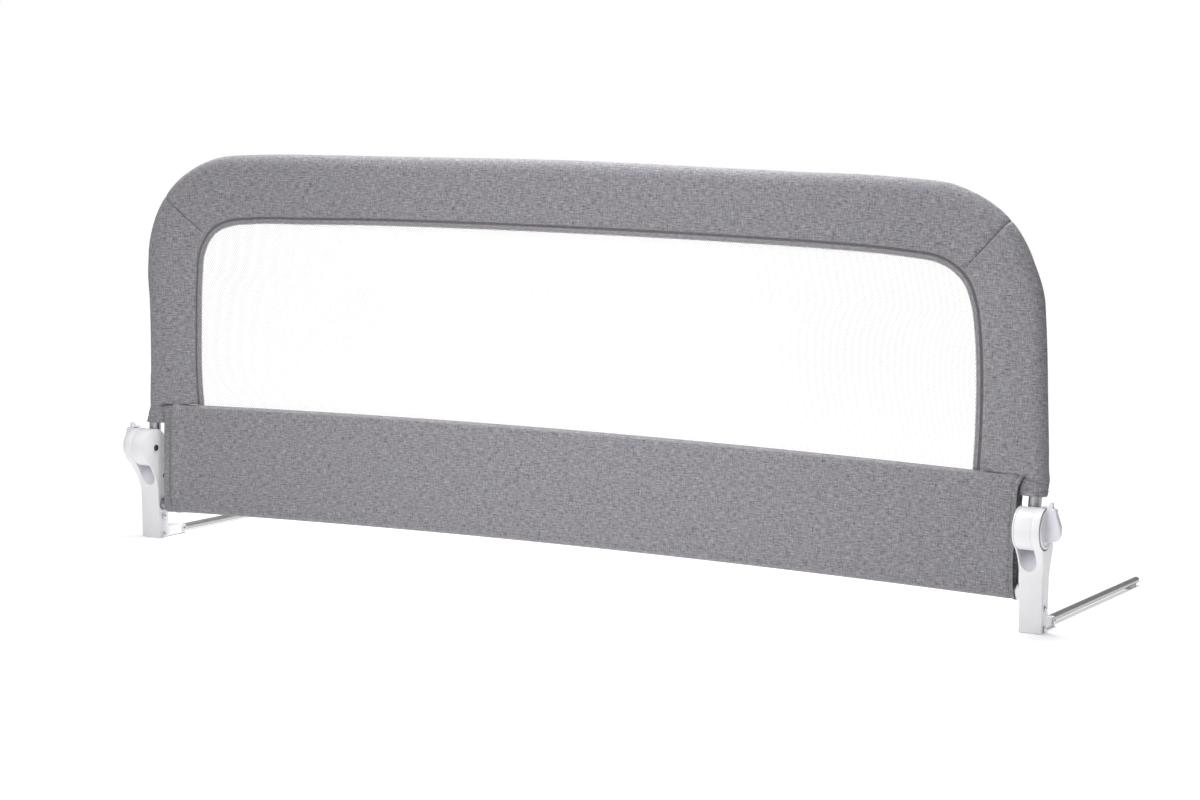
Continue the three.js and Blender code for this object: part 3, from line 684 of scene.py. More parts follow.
@dataclass
class Finishes:
    """Every finish of the rail, built once."""

    cloth: Finish
    tape: Finish
    thread: Finish
    net: Finish
    shell: Finish
    knob: Finish
    rail: Finish
    arm: Finish
    bracket: Finish
    zinc: Finish
    dark: Finish
    rubber: Finish

    @classmethod
    def build(cls) -> "Finishes":
        """Makes all the materials."""
        cube = (200.0,) * 3
        knob = PlasticFinish("knob_plastic", (0.78, 0.775, 0.83, 1), 0.3, 0.04, 0.25)
        rail = MetalFinish(
            "rail_paint", (0.335, 0.33, 0.35, 1), 0.8, 0.3, (900.0, 900.0, 40.0), 0.2
        )
        # The bracket gets a painted contact shadow along its bottom edge.
        bracket = MetalFinish(
            "bracket_paint", (0.88, 0.88, 0.885, 1), 0.0, 0.32, (300.0,) * 3, 0.04, bare_below=1.3
        )
        plan = {
            "cloth": (ClothFinish("melange_cloth"), "cover_fabric"),
            "tape": (TapeFinish("binding_tape"), "binding_fabric"),
            "thread": (ThreadFinish("sewing_thread"), "binding_fabric"),
            "net": (NetFinish("knitted_net"), "net_fabric"),
            # The ring gives the radii of the painted shade in the gap round the knob.
            "shell": (PlasticFinish("white_plastic", ring=(23.9, 25.6)), "leg_plastic"),
            "knob": (knob, "knob_plastic"),
            "rail": (rail, "rail_steel"),
            "arm": (MetalFinish("arm_steel", (0.50, 0.49, 0.49, 1), 1.0, 0.42), "arm_steel"),
            "bracket": (bracket, "bracket_paint"),
            "zinc": (MetalFinish("zinc_plate", (0.66, 0.71, 0.76, 1), 1.0, 0.28, cube), "zinc"),
            "dark": (
                MetalFinish("dark_bolt", (0.07, 0.085, 0.10, 1), 0.9, 0.3, cube), "dark_steel"
            ),
            "rubber": (RubberFinish("foot_rubber"), "foot_rubber"),
        }
        return cls(**{key: Finish(recipe.build(), slot) for key, (recipe, slot) in plan.items()})


# Mesh helpers


@contextmanager
def opened(
    mesh: bpy.types.Mesh, source: bpy.types.Mesh | None = None
) -> Iterator[bmesh.types.BMesh]:
    """Opens a mesh for edits and writes it back.

    Args:
        mesh: The mesh that gets the result.
        source: The mesh that is read, if it's another one.

    Yields:
        The editable mesh.
    """
    shell = bmesh.new()
    shell.from_mesh(mesh if source is None else source)
    yield shell
    shell.to_mesh(mesh)
    shell.free()


def weld(shell: bmesh.types.BMesh) -> None:
    """Joins the vertices that meet and turns all the faces outwards."""
    bmesh.ops.remove_doubles(shell, verts=shell.verts, dist=WELD)
    bmesh.ops.recalc_face_normals(shell, faces=shell.faces)


def smooth_all(mesh: bpy.types.Mesh) -> None:
    """Shades every face of a mesh smooth."""
    mesh.polygons.foreach_set("use_smooth", [True] * len(mesh.polygons))


def flattened(obj: bpy.types.Object) -> bpy.types.Object:
    """Applies an object's modifiers and returns it with a plain mesh."""
    graph = bpy.context.evaluated_depsgraph_get()
    graph.update()
    plain = bpy.data.meshes.new_from_object(obj.evaluated_get(graph))
    obj.modifiers.clear()
    obj.data = plain
    plain.name = obj.name
    return obj


def dressed(
    obj: bpy.types.Object, finish: Finish, body: str | None, *nodes: str
) -> bpy.types.Object:
    """Gives a finished piece its material, its body and the nodes it replaces.

    Args:
        obj: The piece.
        finish: Its finish.
        body: The body it rides on, or None, where it is left unattached.
        nodes: The CAD nodes it stands for.

    Returns:
        The same piece.
    """
    obj.data.materials.clear()
    obj.data.materials.append(finish.material)
    if body:
        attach(obj, body)
    if nodes:
        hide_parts(*nodes)
    LOG.info("%s: %d faces", obj.name, len(obj.data.polygons))
    return obj


def mesh_object(name: str, mesh: bpy.types.Mesh) -> bpy.types.Object:
    """Links a mesh as a new object."""
    obj = bpy.data.objects.new(name, mesh)
    bpy.context.scene.collection.objects.link(obj)
    return obj


def lofted(
    name: str,
    loops: Sequence[Sequence[Vector]],
    weave: Callable[[int, int], tuple[float, float]],
    wall: float = 0.0,
    round_loop: bool = True,
) -> bpy.types.Object:
    """Skins a row of equal loops and lays the weave map on it.

    Args:
        name: The object's name.
        loops: Points of each loop, in metres.
        weave: Gives the map's place, in metres, for a loop and a point number.
        wall: The cloth's thickness in metres, laid inwards, or 0 for a bare skin.
        round_loop: Whether the last point of a loop joins its first.

    Returns:
        The new object, with its modifiers applied.
    """
    count = len(loops[0])
    spans = count if round_loop else count - 1
    mesh = bpy.data.meshes.new(name)
    faces, places = [], []
    for s in range(len(loops) - 1):
        for i in range(spans):
            j = (i + 1) % count
            faces.append((s * count + i, (s + 1) * count + i, (s + 1) * count + j, s * count + j))
            places += [weave(s, i), weave(s + 1, i), weave(s + 1, i + 1), weave(s, i + 1)]
    mesh.from_pydata([p for loop in loops for p in loop], [], faces)
    layer = mesh.uv_layers.new(name=WEAVE_MAP)
    for corner, place in zip(layer.data, places):
        corner.uv = place
    smooth_all(mesh)
    with opened(mesh) as shell:
        bmesh.ops.recalc_face_normals(shell, faces=shell.faces)
    obj = mesh_object(name, mesh)
    if wall:
        solid = obj.modifiers.new("wall", "SOLIDIFY")
        solid.thickness = wall
        solid.offset = -1
        solid.use_even_offset = False
        flattened(obj)
    return obj


# Geometry Nodes


class Recipe(Graph):
    """A geometry tree that turns a wire of points and edges into one finished mesh."""

    def __init__(self, name: str, **inputs: str) -> None:
        """Starts the tree.

        Args:
            name: The tree's name.
            inputs: The kind of each input between the geometry and the finish.
        """
        super().__init__(bpy.data.node_groups.new(name, "GeometryNodeTree"))
        face = self.tree.interface
        face.new_socket("Geometry", in_out="INPUT", socket_type="NodeSocketGeometry")
        for label, kind in (*inputs.items(), ("Finish", "Material")):
            face.new_socket(label, in_out="INPUT", socket_type=f"NodeSocket{kind}")
        face.new_socket("Geometry", in_out="OUTPUT", socket_type="NodeSocketGeometry")
        self.source = self.node("NodeGroupInput")

    def curve(self) -> bpy.types.NodeSocket:
        """The wire that comes in, as a curve."""
        wire = self.source.outputs["Geometry"]
        return self.node("GeometryNodeMeshToCurve", inputs={"Mesh": wire}).outputs["Curve"]

    def close(self, geometry: bpy.types.NodeSocket) -> None:
        """Realizes the geometry, sets its material and ends the tree."""
        real = self.node("GeometryNodeRealizeInstances", inputs={"Geometry": geometry})
        painted = self.node(
            "GeometryNodeSetMaterial",
            inputs={"Geometry": real.outputs[0], "Material": self.source.outputs["Finish"]},
        )
        self.node("NodeGroupOutput", inputs={"Geometry": painted.outputs["Geometry"]})

    def close_on_points(
        self, points: bpy.types.NodeSocket, instance: bpy.types.NodeSocket,
        turn: bpy.types.NodeSocket, size: bpy.types.NodeSocket,
    ) -> None:
        """Sets one turned and sized instance at each point and ends the tree."""
        laid = self.node(
            "GeometryNodeInstanceOnPoints",
            inputs={"Points": points, "Instance": instance, "Rotation": turn, "Scale": size},
        )
        self.close(laid.outputs["Instances"])

    def run(
        self, name: str, points: Sequence[Vector], edges: Sequence[tuple[int, int]],
        finish: Finish, **values: object,
    ) -> bpy.types.Object:
        """Runs the tree.

        Args:
            name: The name of the piece.
            points: The wire's points, in metres.
            edges: Pairs of point numbers.
            finish: The piece's finish.
            values: The other inputs, by name.

        Returns:
            The result as a plain mesh.
        """
        mesh = bpy.data.meshes.new(name)
        mesh.from_pydata(list(points), list(edges), [])
        obj = mesh_object(name, mesh)
        modifier = obj.modifiers.new(self.tree.name, "NODES")
        modifier.node_group = self.tree
        values["Finish"] = finish.material
        for item in self.tree.interface.items_tree:
            if item.in_out == "INPUT" and item.name in values:
                modifier[item.identifier] = values[item.name]
        return flattened(obj)


class Needle:
    """Lays stitches along paths with one geometry tree."""

    def __init__(self, thread: Finish) -> None:
        """Builds the tree: resample the path, then lay one rounded stitch at each point."""
        self.thread = thread
        self.recipe = Recipe(
            "stitch_row", Spacing="Float", Length="Float", Thread="Float", Fineness="Int"
        )
        node, given = self.recipe.node, self.recipe.source.outputs
        spaced = node(
            "GeometryNodeResampleCurve", {"mode": "LENGTH"},
            {"Curve": self.recipe.curve(), "Length": given["Spacing"]},
        )
        stitch = node(
            "GeometryNodeMeshIcoSphere", inputs={"Radius": 0.5, "Subdivisions": given["Fineness"]}
        )
        tangent = node("GeometryNodeInputTangent").outputs["Tangent"]
        turn = node("FunctionNodeAlignEulerToVector", {"axis": "X"}, {"Vector": tangent})
        size = node(
            "ShaderNodeCombineXYZ",
            inputs={"X": given["Length"], "Y": given["Thread"], "Z": given["Thread"]},
        )
        self.recipe.close_on_points(
            spaced.outputs["Curve"], stitch.outputs["Mesh"], turn.outputs["Rotation"],
            size.outputs["Vector"],
        )

    def sew(
        self, name: str, rows: Sequence[Sequence[Vector]], body: str | None,
        spacing: float = 3.2, length: float = 2.5, thread: float = 0.55, fineness: int = 2,
    ) -> bpy.types.Object:
        """Sews one piece of stitches.

        Args:
            name: The piece's name.
            rows: The paths, as points in metres.
            body: The body that it rides on, or None.
            spacing: Millimetres from stitch to stitch.
            length: A stitch's length in millimetres.
            thread: The thread's thickness in millimetres.
            fineness: How finely a stitch is rounded, 1 for rows with many stitches.

        Returns:
            The stitches as one mesh.
        """
        points, edges = [], []
        for row in rows:
            first = len(points)
            points += row
            edges += [(first + i, first + i + 1) for i in range(len(row) - 1)]
        made = self.recipe.run(
            name, points, edges, self.thread,
            Spacing=spacing * MM, Length=length * MM, Thread=thread * MM, Fineness=fineness,
        )
        smooth_all(made.data)
        return dressed(made, self.thread, body)


class TubeMaker:
    """Draws steel tubes along paths with one geometry tree."""

    sides = 40

    def __init__(self) -> None:
        """Builds the tree: path to curve, then curve to tube with closed ends."""
        self.recipe = Recipe("tube_along_path", Radius="Float", Sides="Int")
        node, given = self.recipe.node, self.recipe.source.outputs
        ring = node(
            "GeometryNodeCurvePrimitiveCircle", {"mode": "RADIUS"},
            {"Radius": given["Radius"], "Resolution": given["Sides"]},
        )
        tube = node("GeometryNodeCurveToMesh", inputs={
            "Curve": self.recipe.curve(), "Profile Curve": ring.outputs["Curve"], "Fill Caps": True,
        })
        self.recipe.close(tube.outputs["Mesh"])

    def draw(
        self, name: str, path: Sequence[Vector], radius: float, finish: Finish, body: str,
        *nodes: str,
    ) -> bpy.types.Object:
        """Draws one tube.

        Args:
            name: The piece's name.
            path: Its centre line, in metres.
            radius: Its radius in millimetres.
            finish: Its finish.
            body: The body that it rides on.
            nodes: The CAD nodes it stands for.

        Returns:
            The tube as a plain mesh.
        """
        edges = [(i, i + 1) for i in range(len(path) - 1)]
        made = self.recipe.run(name, path, edges, finish, Radius=radius * MM, Sides=self.sides)
        with opened(made.data) as shell:
            weld(shell)
            for face in shell.faces:
                face.smooth = len(face.verts) == 4
        return dressed(made, finish, body, *nodes)


class HeadPress:
    """Sets domed fastener heads on points with one geometry tree."""

    rings = 6
    sides = 24
    rim_height = 0.12
    dome_height = 0.40
    recess_margin = 0.03
    recess_depth = -0.22

    def __init__(self) -> None:
        """Builds the tree: a head at each vertex, turned and sized by inputs."""
        self.recipe = Recipe("fastener_heads", Head="Object", Turn="Vector", Size="Float")
        node, given = self.recipe.node, self.recipe.source.outputs
        head = node(
            "GeometryNodeObjectInfo", {"transform_space": "ORIGINAL"}, {"Object": given["Head"]}
        )
        spots = node("GeometryNodeMeshToPoints", inputs={"Mesh": given["Geometry"]})
        self.recipe.close_on_points(
            spots.outputs["Points"], head.outputs["Geometry"], given["Turn"], given["Size"]
        )
        self.head = self.domed_head()

    def domed_head(self) -> bpy.types.Object:
        """A unit head, 1 m in radius and facing +x, with a round driver recess."""
        mesh = bpy.data.meshes.new("domed_head")
        with opened(mesh) as shell:
            rows = []
            for r in range(self.rings):
                angle = math.pi / 2 * r / self.rings
                radius = math.cos(angle)
                reach = self.rim_height + self.dome_height * math.sin(angle)
                rows.append([
                    shell.verts.new((reach, radius * math.cos(t), radius * math.sin(t)))
                    for t in (2 * math.pi * i / self.sides for i in range(self.sides))
                ])
            rows.insert(0, [shell.verts.new((0, v.co.y, v.co.z)) for v in rows[0]])
            for low, high in zip(rows, rows[1:]):
                for i in range(self.sides):
                    j = (i + 1) % self.sides
                    shell.faces.new((low[i], low[j], high[j], high[i]))
            crown = shell.faces.new(rows[-1])
            shell.faces.new(rows[0][::-1])
            sunk = bmesh.ops.inset_individual(
                shell, faces=[crown], thickness=self.recess_margin, depth=self.recess_depth
            )
            for face in shell.faces:
                face.smooth = face not in (crown, *sunk["faces"])
            bmesh.ops.recalc_face_normals(shell, faces=shell.faces)
        return bpy.data.objects.new("domed_head", mesh)

    def press(
        self, name: str, places: Sequence[Vector], facing: int, radius: float, finish: Finish,
        body: str,
    ) -> bpy.types.Object:
        """Sets one group of heads.

        Args:
            name: The piece's name.
            places: Where the heads sit, in metres.
            facing: 1 for heads that face +x, -1 for -x.
            radius: A head's radius in millimetres.
            finish: Their finish.
            body: The body that they ride on.

        Returns:
            The heads as one mesh.
        """
        turn = (0.0, 0.0, 0.0 if facing > 0 else math.pi)
        made = self.recipe.run(
            name, places, [], finish, Head=self.head, Turn=turn, Size=radius * MM
        )
        return dressed(made, finish, body)


# Cover


@dataclass
class Cover:
    """The cloth cover round the window: a top piece and two sleeves, sewn at slanting seams."""

    finishes: Finishes
    needle: Needle
    tape_overlap: float = 9.4
    nose: float = 10.0
    sewn_edge: float = 3.2
    puff: float = 1.4
    roll: float = 16.0
    right_roll: float = 7.0
    left_roll: float = -4.0
    wall: float = 1.0
    left_seam: float = 37.0
    right_seam: float = 48.0
    seam_gap: float = 0.12
    shelf: float = 188.3
    sleeve_edge: float = 618.6
    left_hem: float = 162.0
    right_hem: float = 165.0
    hem_depth: float = 8.0
    hem_swell: float = 1.05
    hem_groove: float = 0.09
    hem_groove_width: float = 0.9
    sleeve_roll: float = 12.0
    right_peak: tuple[float, float] = (560.0, 512.0)
    left_peak: tuple[float, float] = (590.0, 500.0)
    peak_width: float = 70.0
    right_fold: tuple[float, float, float] = (0.8, 7.0, 2.4)
    left_fold: tuple[float, float, float] = (-1.0, 4.0, 1.2)
    pinch_all: float = 0.07
    pinch_more: float = 0.17
    pinch_reach: float = 2.2
    seam_steps: int = 34

    def corner_pair(self, angle: float, side: Side) -> tuple[Vector, Vector]:
        """The outer and inner border points at one angle of a corner."""
        return RIM.round(side, angle), SILL.round(side, angle) + ray(angle) * self.tape_overlap

    def section(self, width: float, roll: float) -> list[tuple[float, float]]:
        """The border's section: reach inwards from the outer edge, and y, front first.

        Args:
            width: The border's width at this place.
            roll: How far in the edge's rounding reaches.

        Returns:
            Reach and y of each point round the loop, front edge to nose to back edge.
        """
        nose, half_edge = self.nose, self.sewn_edge / 2

        def half_at(share: float) -> float:
            """Half the border's thickness at a share of the way from the tube to the window."""
            return nose + (half_edge - nose) * share + self.puff * math.sin(math.pi * share)

        flat = [(roll + (width - roll) * share, half_at(share)) for share in evenly(0, 1, 14)[1:]]
        front = [(reach, -half) for reach, half in reversed(flat)]
        turn = evenly(0, math.pi, 18)
        return front + [(roll - roll * math.sin(a), -nose * math.cos(a)) for a in turn] + flat

    def roll_at(self, side: Side, spot: Vector) -> float:
        """How far in the edge's rounding reaches at a place, with x counted outwards."""
        if spot.y < self.shelf + 40:
            return self.sleeve_roll
        right = side is Side.RIGHT
        peak = Vector(self.right_peak if right else self.left_peak)
        near = bell((spot - peak).length, self.peak_width)
        return self.roll + (self.right_roll if right else self.left_roll) * near

    def crease(self, side: Side, spot: Vector) -> float:
        """How deep the fold is that runs out from the panel's corner across the sleeve."""
        rise, drop, depth = self.right_fold if side is Side.RIGHT else self.left_fold
        start = Vector((self.sleeve_edge - 1, self.shelf + rise))
        end = Vector((RIM.half + 3, self.shelf - drop))
        along = (end - start).normalized()
        off = spot - start
        if off.dot(along) < 0:
            return 0.0
        away = off.dot(Vector((-along.y, along.x)))
        lap = 0.7 / (1 + math.exp(-(away - 0.4) / 0.5)) * math.exp(-max(0.0, away) / 9)
        return depth * (bell(away, 1.0) - lap)

    @staticmethod
    def ripple(x: float, y: float, z: float) -> float:
        """The cloth's soft unevenness at a place, in millimetres."""
        large = 0.7 * noise.noise(Vector((x / 60, z / 45, y / 20)))
        return large + 0.3 * noise.noise(Vector((x / 17, z / 15, 5 + y)))

    def skin(
        self, name: str, stations: Sequence[tuple[Vector, Vector]],
        ease: Callable[[int, float], float], side: Side = Side.RIGHT,
    ) -> bpy.types.Object:
        """Skins a run of the border.

        Args:
            name: The piece's name.
            stations: Outer and inner points along the run, seen from the front.
            ease: Thickness share at a station and a share of the width, for seams and hems.
            side: The end that the run is on. The left one is turned over.

        Returns:
            The piece as a plain mesh.
        """
        mirror = side.value
        loops, maps = [], []
        for s, (outer, inner) in enumerate(stations):
            width = (inner - outer).length
            inward = (inner - outer) / width
            loop, places = [], []
            roll = self.roll_at(Side.of(outer.x * mirror), Vector((abs(outer.x), outer.y)))
            for reach, y in self.section(width, roll):
                share = min(1.0, reach / width)
                pinch = ease(s, share)
                y *= pinch
                face = math.copysign(1, y)
                spot = outer + inward * (reach + self.nose * (1 - min(1.0, pinch)) * (1 - share))
                off = self.ripple(mirror * spot.x, y, spot.y) if reach > self.nose else 0.0
                off *= math.sin(math.pi * min(1.0, share * 1.05)) * face
                if spot.y < self.shelf + 12 and outer.x > self.sleeve_edge:
                    off -= self.crease(side, spot) * face
                unrolled = outer - inward * ((reach + 0.9 * abs(y)) * face)
                loop.append(at(mirror * spot.x, y + off, spot.y + bow(spot.x)))
                places.append((mirror * unrolled.x * MM, unrolled.y * MM))
            loops.append(loop)
            maps.append(places)
        return lofted(name, loops, lambda s, i: maps[s][i % len(maps[s])], self.wall * MM)

    def seam_ease(self, distance: float, share: float) -> float:
        """Thickness share near a sewn seam.

        Args:
            distance: Millimetres from the seam.
            share: The place across the border, where the tube holds the cloth out near 0.

        Returns:
            The share of the thickness that is left.
        """
        depth = self.pinch_all + self.pinch_more * min(1.0, 2 * share)
        return 1 - depth * math.exp(-distance / self.pinch_reach)

    def build_top(self) -> bpy.types.Object:
        """The long top piece."""
        gap = self.seam_gap / RIM.radius
        bend = evenly(math.radians(self.right_seam) + gap, math.pi / 2, self.seam_steps)
        stations = [self.corner_pair(a, Side.RIGHT) for a in bend]
        for share in evenly(1, -1, 120)[1:-1]:
            side = Side.of(share)
            outer = RIM.over(side, abs(share) * (RIM.half - RIM.radius))
            inner = SILL.over(side, abs(share) * (SILL.half - SILL.radius))
            inner.y += self.tape_overlap
            stations.append(tuple(Vector((side.value * p.x, p.y)) for p in (outer, inner)))
        for a in evenly(math.pi / 2, math.radians(self.left_seam) + gap, 40):
            stations.append(tuple(Vector((-p.x, p.y)) for p in self.corner_pair(a, Side.LEFT)))
        ends = stations[0][0], stations[-1][0]

        def ease(s: int, share: float) -> float:
            """Pinches the cloth at both seams."""
            return math.prod(self.seam_ease((stations[s][0] - end).length, share) for end in ends)

        return self.skin("top_cover", stations, ease)

    def build_side(self, side: Side) -> bpy.types.Object:
        """One side sleeve with its hem below the panel's top."""
        seam = self.left_seam if side is Side.LEFT else self.right_seam
        hem, base = self.hem_at(side), self.shelf + 0.6
        rim_shoulder, sill_shoulder = RIM.top - RIM.radius, SILL.top - SILL.radius
        stations = [
            (RIM.up(side, z), Vector((self.sleeve_edge, z))) for z in evenly(hem, self.shelf, 24)
        ]
        for share in evenly(0, 1, 64):
            inner = SILL.up(side, base + (sill_shoulder - base) * share)
            outer = RIM.up(side, base + (rim_shoulder - base) * share)
            stations.append((outer, inner + Vector((self.tape_overlap, 0))))
        bend = evenly(0, math.radians(seam) - self.seam_gap / RIM.radius, self.seam_steps)[1:]
        stations += [self.corner_pair(a, side) for a in bend]
        last = stations[-1][0]

        def ease(s: int, share: float) -> float:
            """Pinches the seam and thickens the turned hem."""
            here = stations[s][0]
            turned = self.hem_swell if here.y < hem + self.hem_depth else 1.0
            turned -= self.hem_groove * bell(here.y - hem - self.hem_depth, self.hem_groove_width)
            return self.seam_ease((here - last).length, share) * turned

        return self.skin(f"{side.label}_cover", stations, ease, side)

    def hem_at(self, side: Side) -> float:
        """The height of a sleeve's lower edge."""
        return self.left_hem if side is Side.LEFT else self.right_hem

    def hem_row(self, side: Side) -> list[Vector]:
        """The path of the stitches round the front of a sleeve's hem."""
        z = self.hem_at(side) + self.hem_depth - 1.5
        edge = RIM.up(side, z).x
        points = [
            at(side.value * (edge - reach), y * 1.07, z)
            for reach, y in self.section(edge - self.sleeve_edge, self.sleeve_roll)
        ]
        return points[2:-2]

    def build(self) -> None:
        """Makes the three cover pieces and their hem stitches."""
        cloth, body = self.finishes.cloth, "upper_frame"
        top = dressed(self.build_top(), cloth, body, "top_cover_sleeve")
        for side in Side:
            piece = dressed(self.build_side(side), cloth, body, f"{side.label}_cover_sleeve")
            row = self.needle.sew(f"{side.label}_hem_stitches", [self.hem_row(side)], body)


@dataclass
class Window:
    """The net window and the tape that binds it to the cover."""

    finishes: Finishes
    needle: Needle
    foot: float = 188.6
    tape_width: float = 9.6
    tape_thickness: float = 3.8
    groove_share: float = 0.52
    groove_at: float = 0.60
    groove_slope: float = 0.035
    lip_thinning: float = 0.35
    lip_width: float = 0.14
    wall: float = 0.7
    stitch_rows: tuple[float, ...] = (6.1, 7.8)
    zigzag: tuple[float, float] = (-0.9, 2.9)
    net_tuck: float = 1.5

    def outline(
        self, grow: float, arc_steps: int = 24, flat_steps: int = 90, side_steps: int = 24
    ) -> list[Vector]:
        """The window's edge from its lower right corner over the top to its lower left one.

        Args:
            grow: How far outside the window's edge it runs, in millimetres.
            arc_steps: Steps of each corner.
            flat_steps: Steps of the top.
            side_steps: Steps of each side.

        Returns:
            Points seen from the front, in millimetres, before the bow.
        """
        ends = {}
        for side in Side:
            rises = evenly(self.foot, SILL.top - SILL.radius, side_steps)[:-1]
            points = [SILL.up(side, z) + Vector((grow, 0)) for z in rises]
            turns = evenly(0, math.pi / 2, arc_steps)
            points += [SILL.round(side, a) + ray(a) * grow for a in turns]
            ends[side] = [Vector((side.value * p.x, p.y)) for p in points]
        flat = []
        for share in evenly(1, -1, flat_steps)[1:-1]:
            side = Side.of(share)
            over = SILL.over(side, abs(share) * (SILL.half - SILL.radius))
            flat.append(Vector((side.value * over.x, over.y + grow)))
        return ends[Side.RIGHT] + flat + ends[Side.LEFT][::-1]

    def tape_section(self) -> list[tuple[float, float]]:
        """The folded tape's outer face: place across the tape and y, front to back."""
        half, groove = self.tape_thickness / 2, self.groove_share
        front = []
        for across in evenly(0, 1, 20):
            lip = 1 - self.lip_thinning * max(0.0, 1 - across / self.lip_width) ** 2
            fall = 1 / (1 + math.exp((across - self.groove_at) / self.groove_slope))
            front.append((across, -half * lip * (groove + (1 - groove) * fall)))
        return front + [(across, -y) for across, y in reversed(front[:-1])]

    def tape_loops(self) -> tuple[list[list[Vector]], list[float]]:
        """Loops of the tape's section along the window's edge, and the run of each."""
        inner, outer = self.outline(0.0), self.outline(self.tape_width)
        section = self.tape_section()
        loops, runs, run = [], [], 0.0
        for s, (a, b) in enumerate(zip(inner, outer)):
            run += (inner[s] - inner[s - 1]).length if s else 0.0
            runs.append(run)
            spots = [(a.lerp(b, across), y) for across, y in section]
            loops.append([at(spot.x, y, spot.y + bow(spot.x)) for spot, y in spots])
        return loops, runs

    def row(self, grow: float, y: float) -> list[Vector]:
        """A stitching path beside the window's edge, on the face at y."""
        return [at(p.x, y, p.y + bow(p.x)) for p in self.outline(grow)]

    def overlock(self, face: int) -> list[Vector]:
        """A zigzag over the net's edge on one face of the tape."""
        low, high = (self.outline(grow, 91, 901, 170) for grow in self.zigzag)
        points = []
        for s, (a, b) in enumerate(zip(low, high)):
            spot, y = (a, 1.0) if s % 2 else (b, 2.0)
            points.append(at(spot.x, face * y, spot.y + bow(spot.x)))
        return points

    def build_tape(self) -> bpy.types.Object:
        """The binding tape, folded round the cover's sewn edge and the net's."""
        loops, runs = self.tape_loops()
        section = self.tape_section()
        return lofted(
            "window_tape", loops,
            lambda s, i: (runs[s] * MM, section[i % len(section)][0] * self.tape_width * MM),
            self.wall * MM, round_loop=False,
        )

    def build_net(self) -> bpy.types.Object:
        """The net as one stretched sheet that fills the window."""
        side_steps, rows = 24, 30
        heads = self.outline(self.net_tuck, side_steps=side_steps)[side_steps:-side_steps]
        shoulder = SILL.top - SILL.radius
        loops = []
        for head in heads:
            side = Side.of(head.x)
            full = SILL.up(side, shoulder).x + self.net_tuck
            loop = []
            for z in evenly(self.foot, head.y, rows):
                x = head.x * (SILL.up(side, min(z, shoulder)).x + self.net_tuck) / full
                y = 0.4 * noise.noise(Vector((x / 90, z / 60, 1)))
                loop.append(at(x, y, z + bow(x)))
            loops.append(loop)
        return lofted(
            "net", loops, lambda s, i: (heads[s].x * MM, loops[s][i].z), round_loop=False
        )

    def build(self) -> None:
        """Makes the tape, the net and the stitches."""
        tape = dressed(self.build_tape(), self.finishes.tape, "upper_frame", "window_binding")
        rows = [self.row(grow, face * 1.15) for grow in self.stitch_rows for face in (-1, 1)]
        seams = self.needle.sew("tape_stitches", rows, "upper_frame", fineness=1)
        zigzag = self.needle.sew(
            "overlock_stitches", [self.overlock(face) for face in (-1, 1)], "upper_frame",
            2.0, 2.3, 0.5, 1,
        )
        net = dressed(self.build_net(), self.finishes.net, "upper_frame", "net_window")


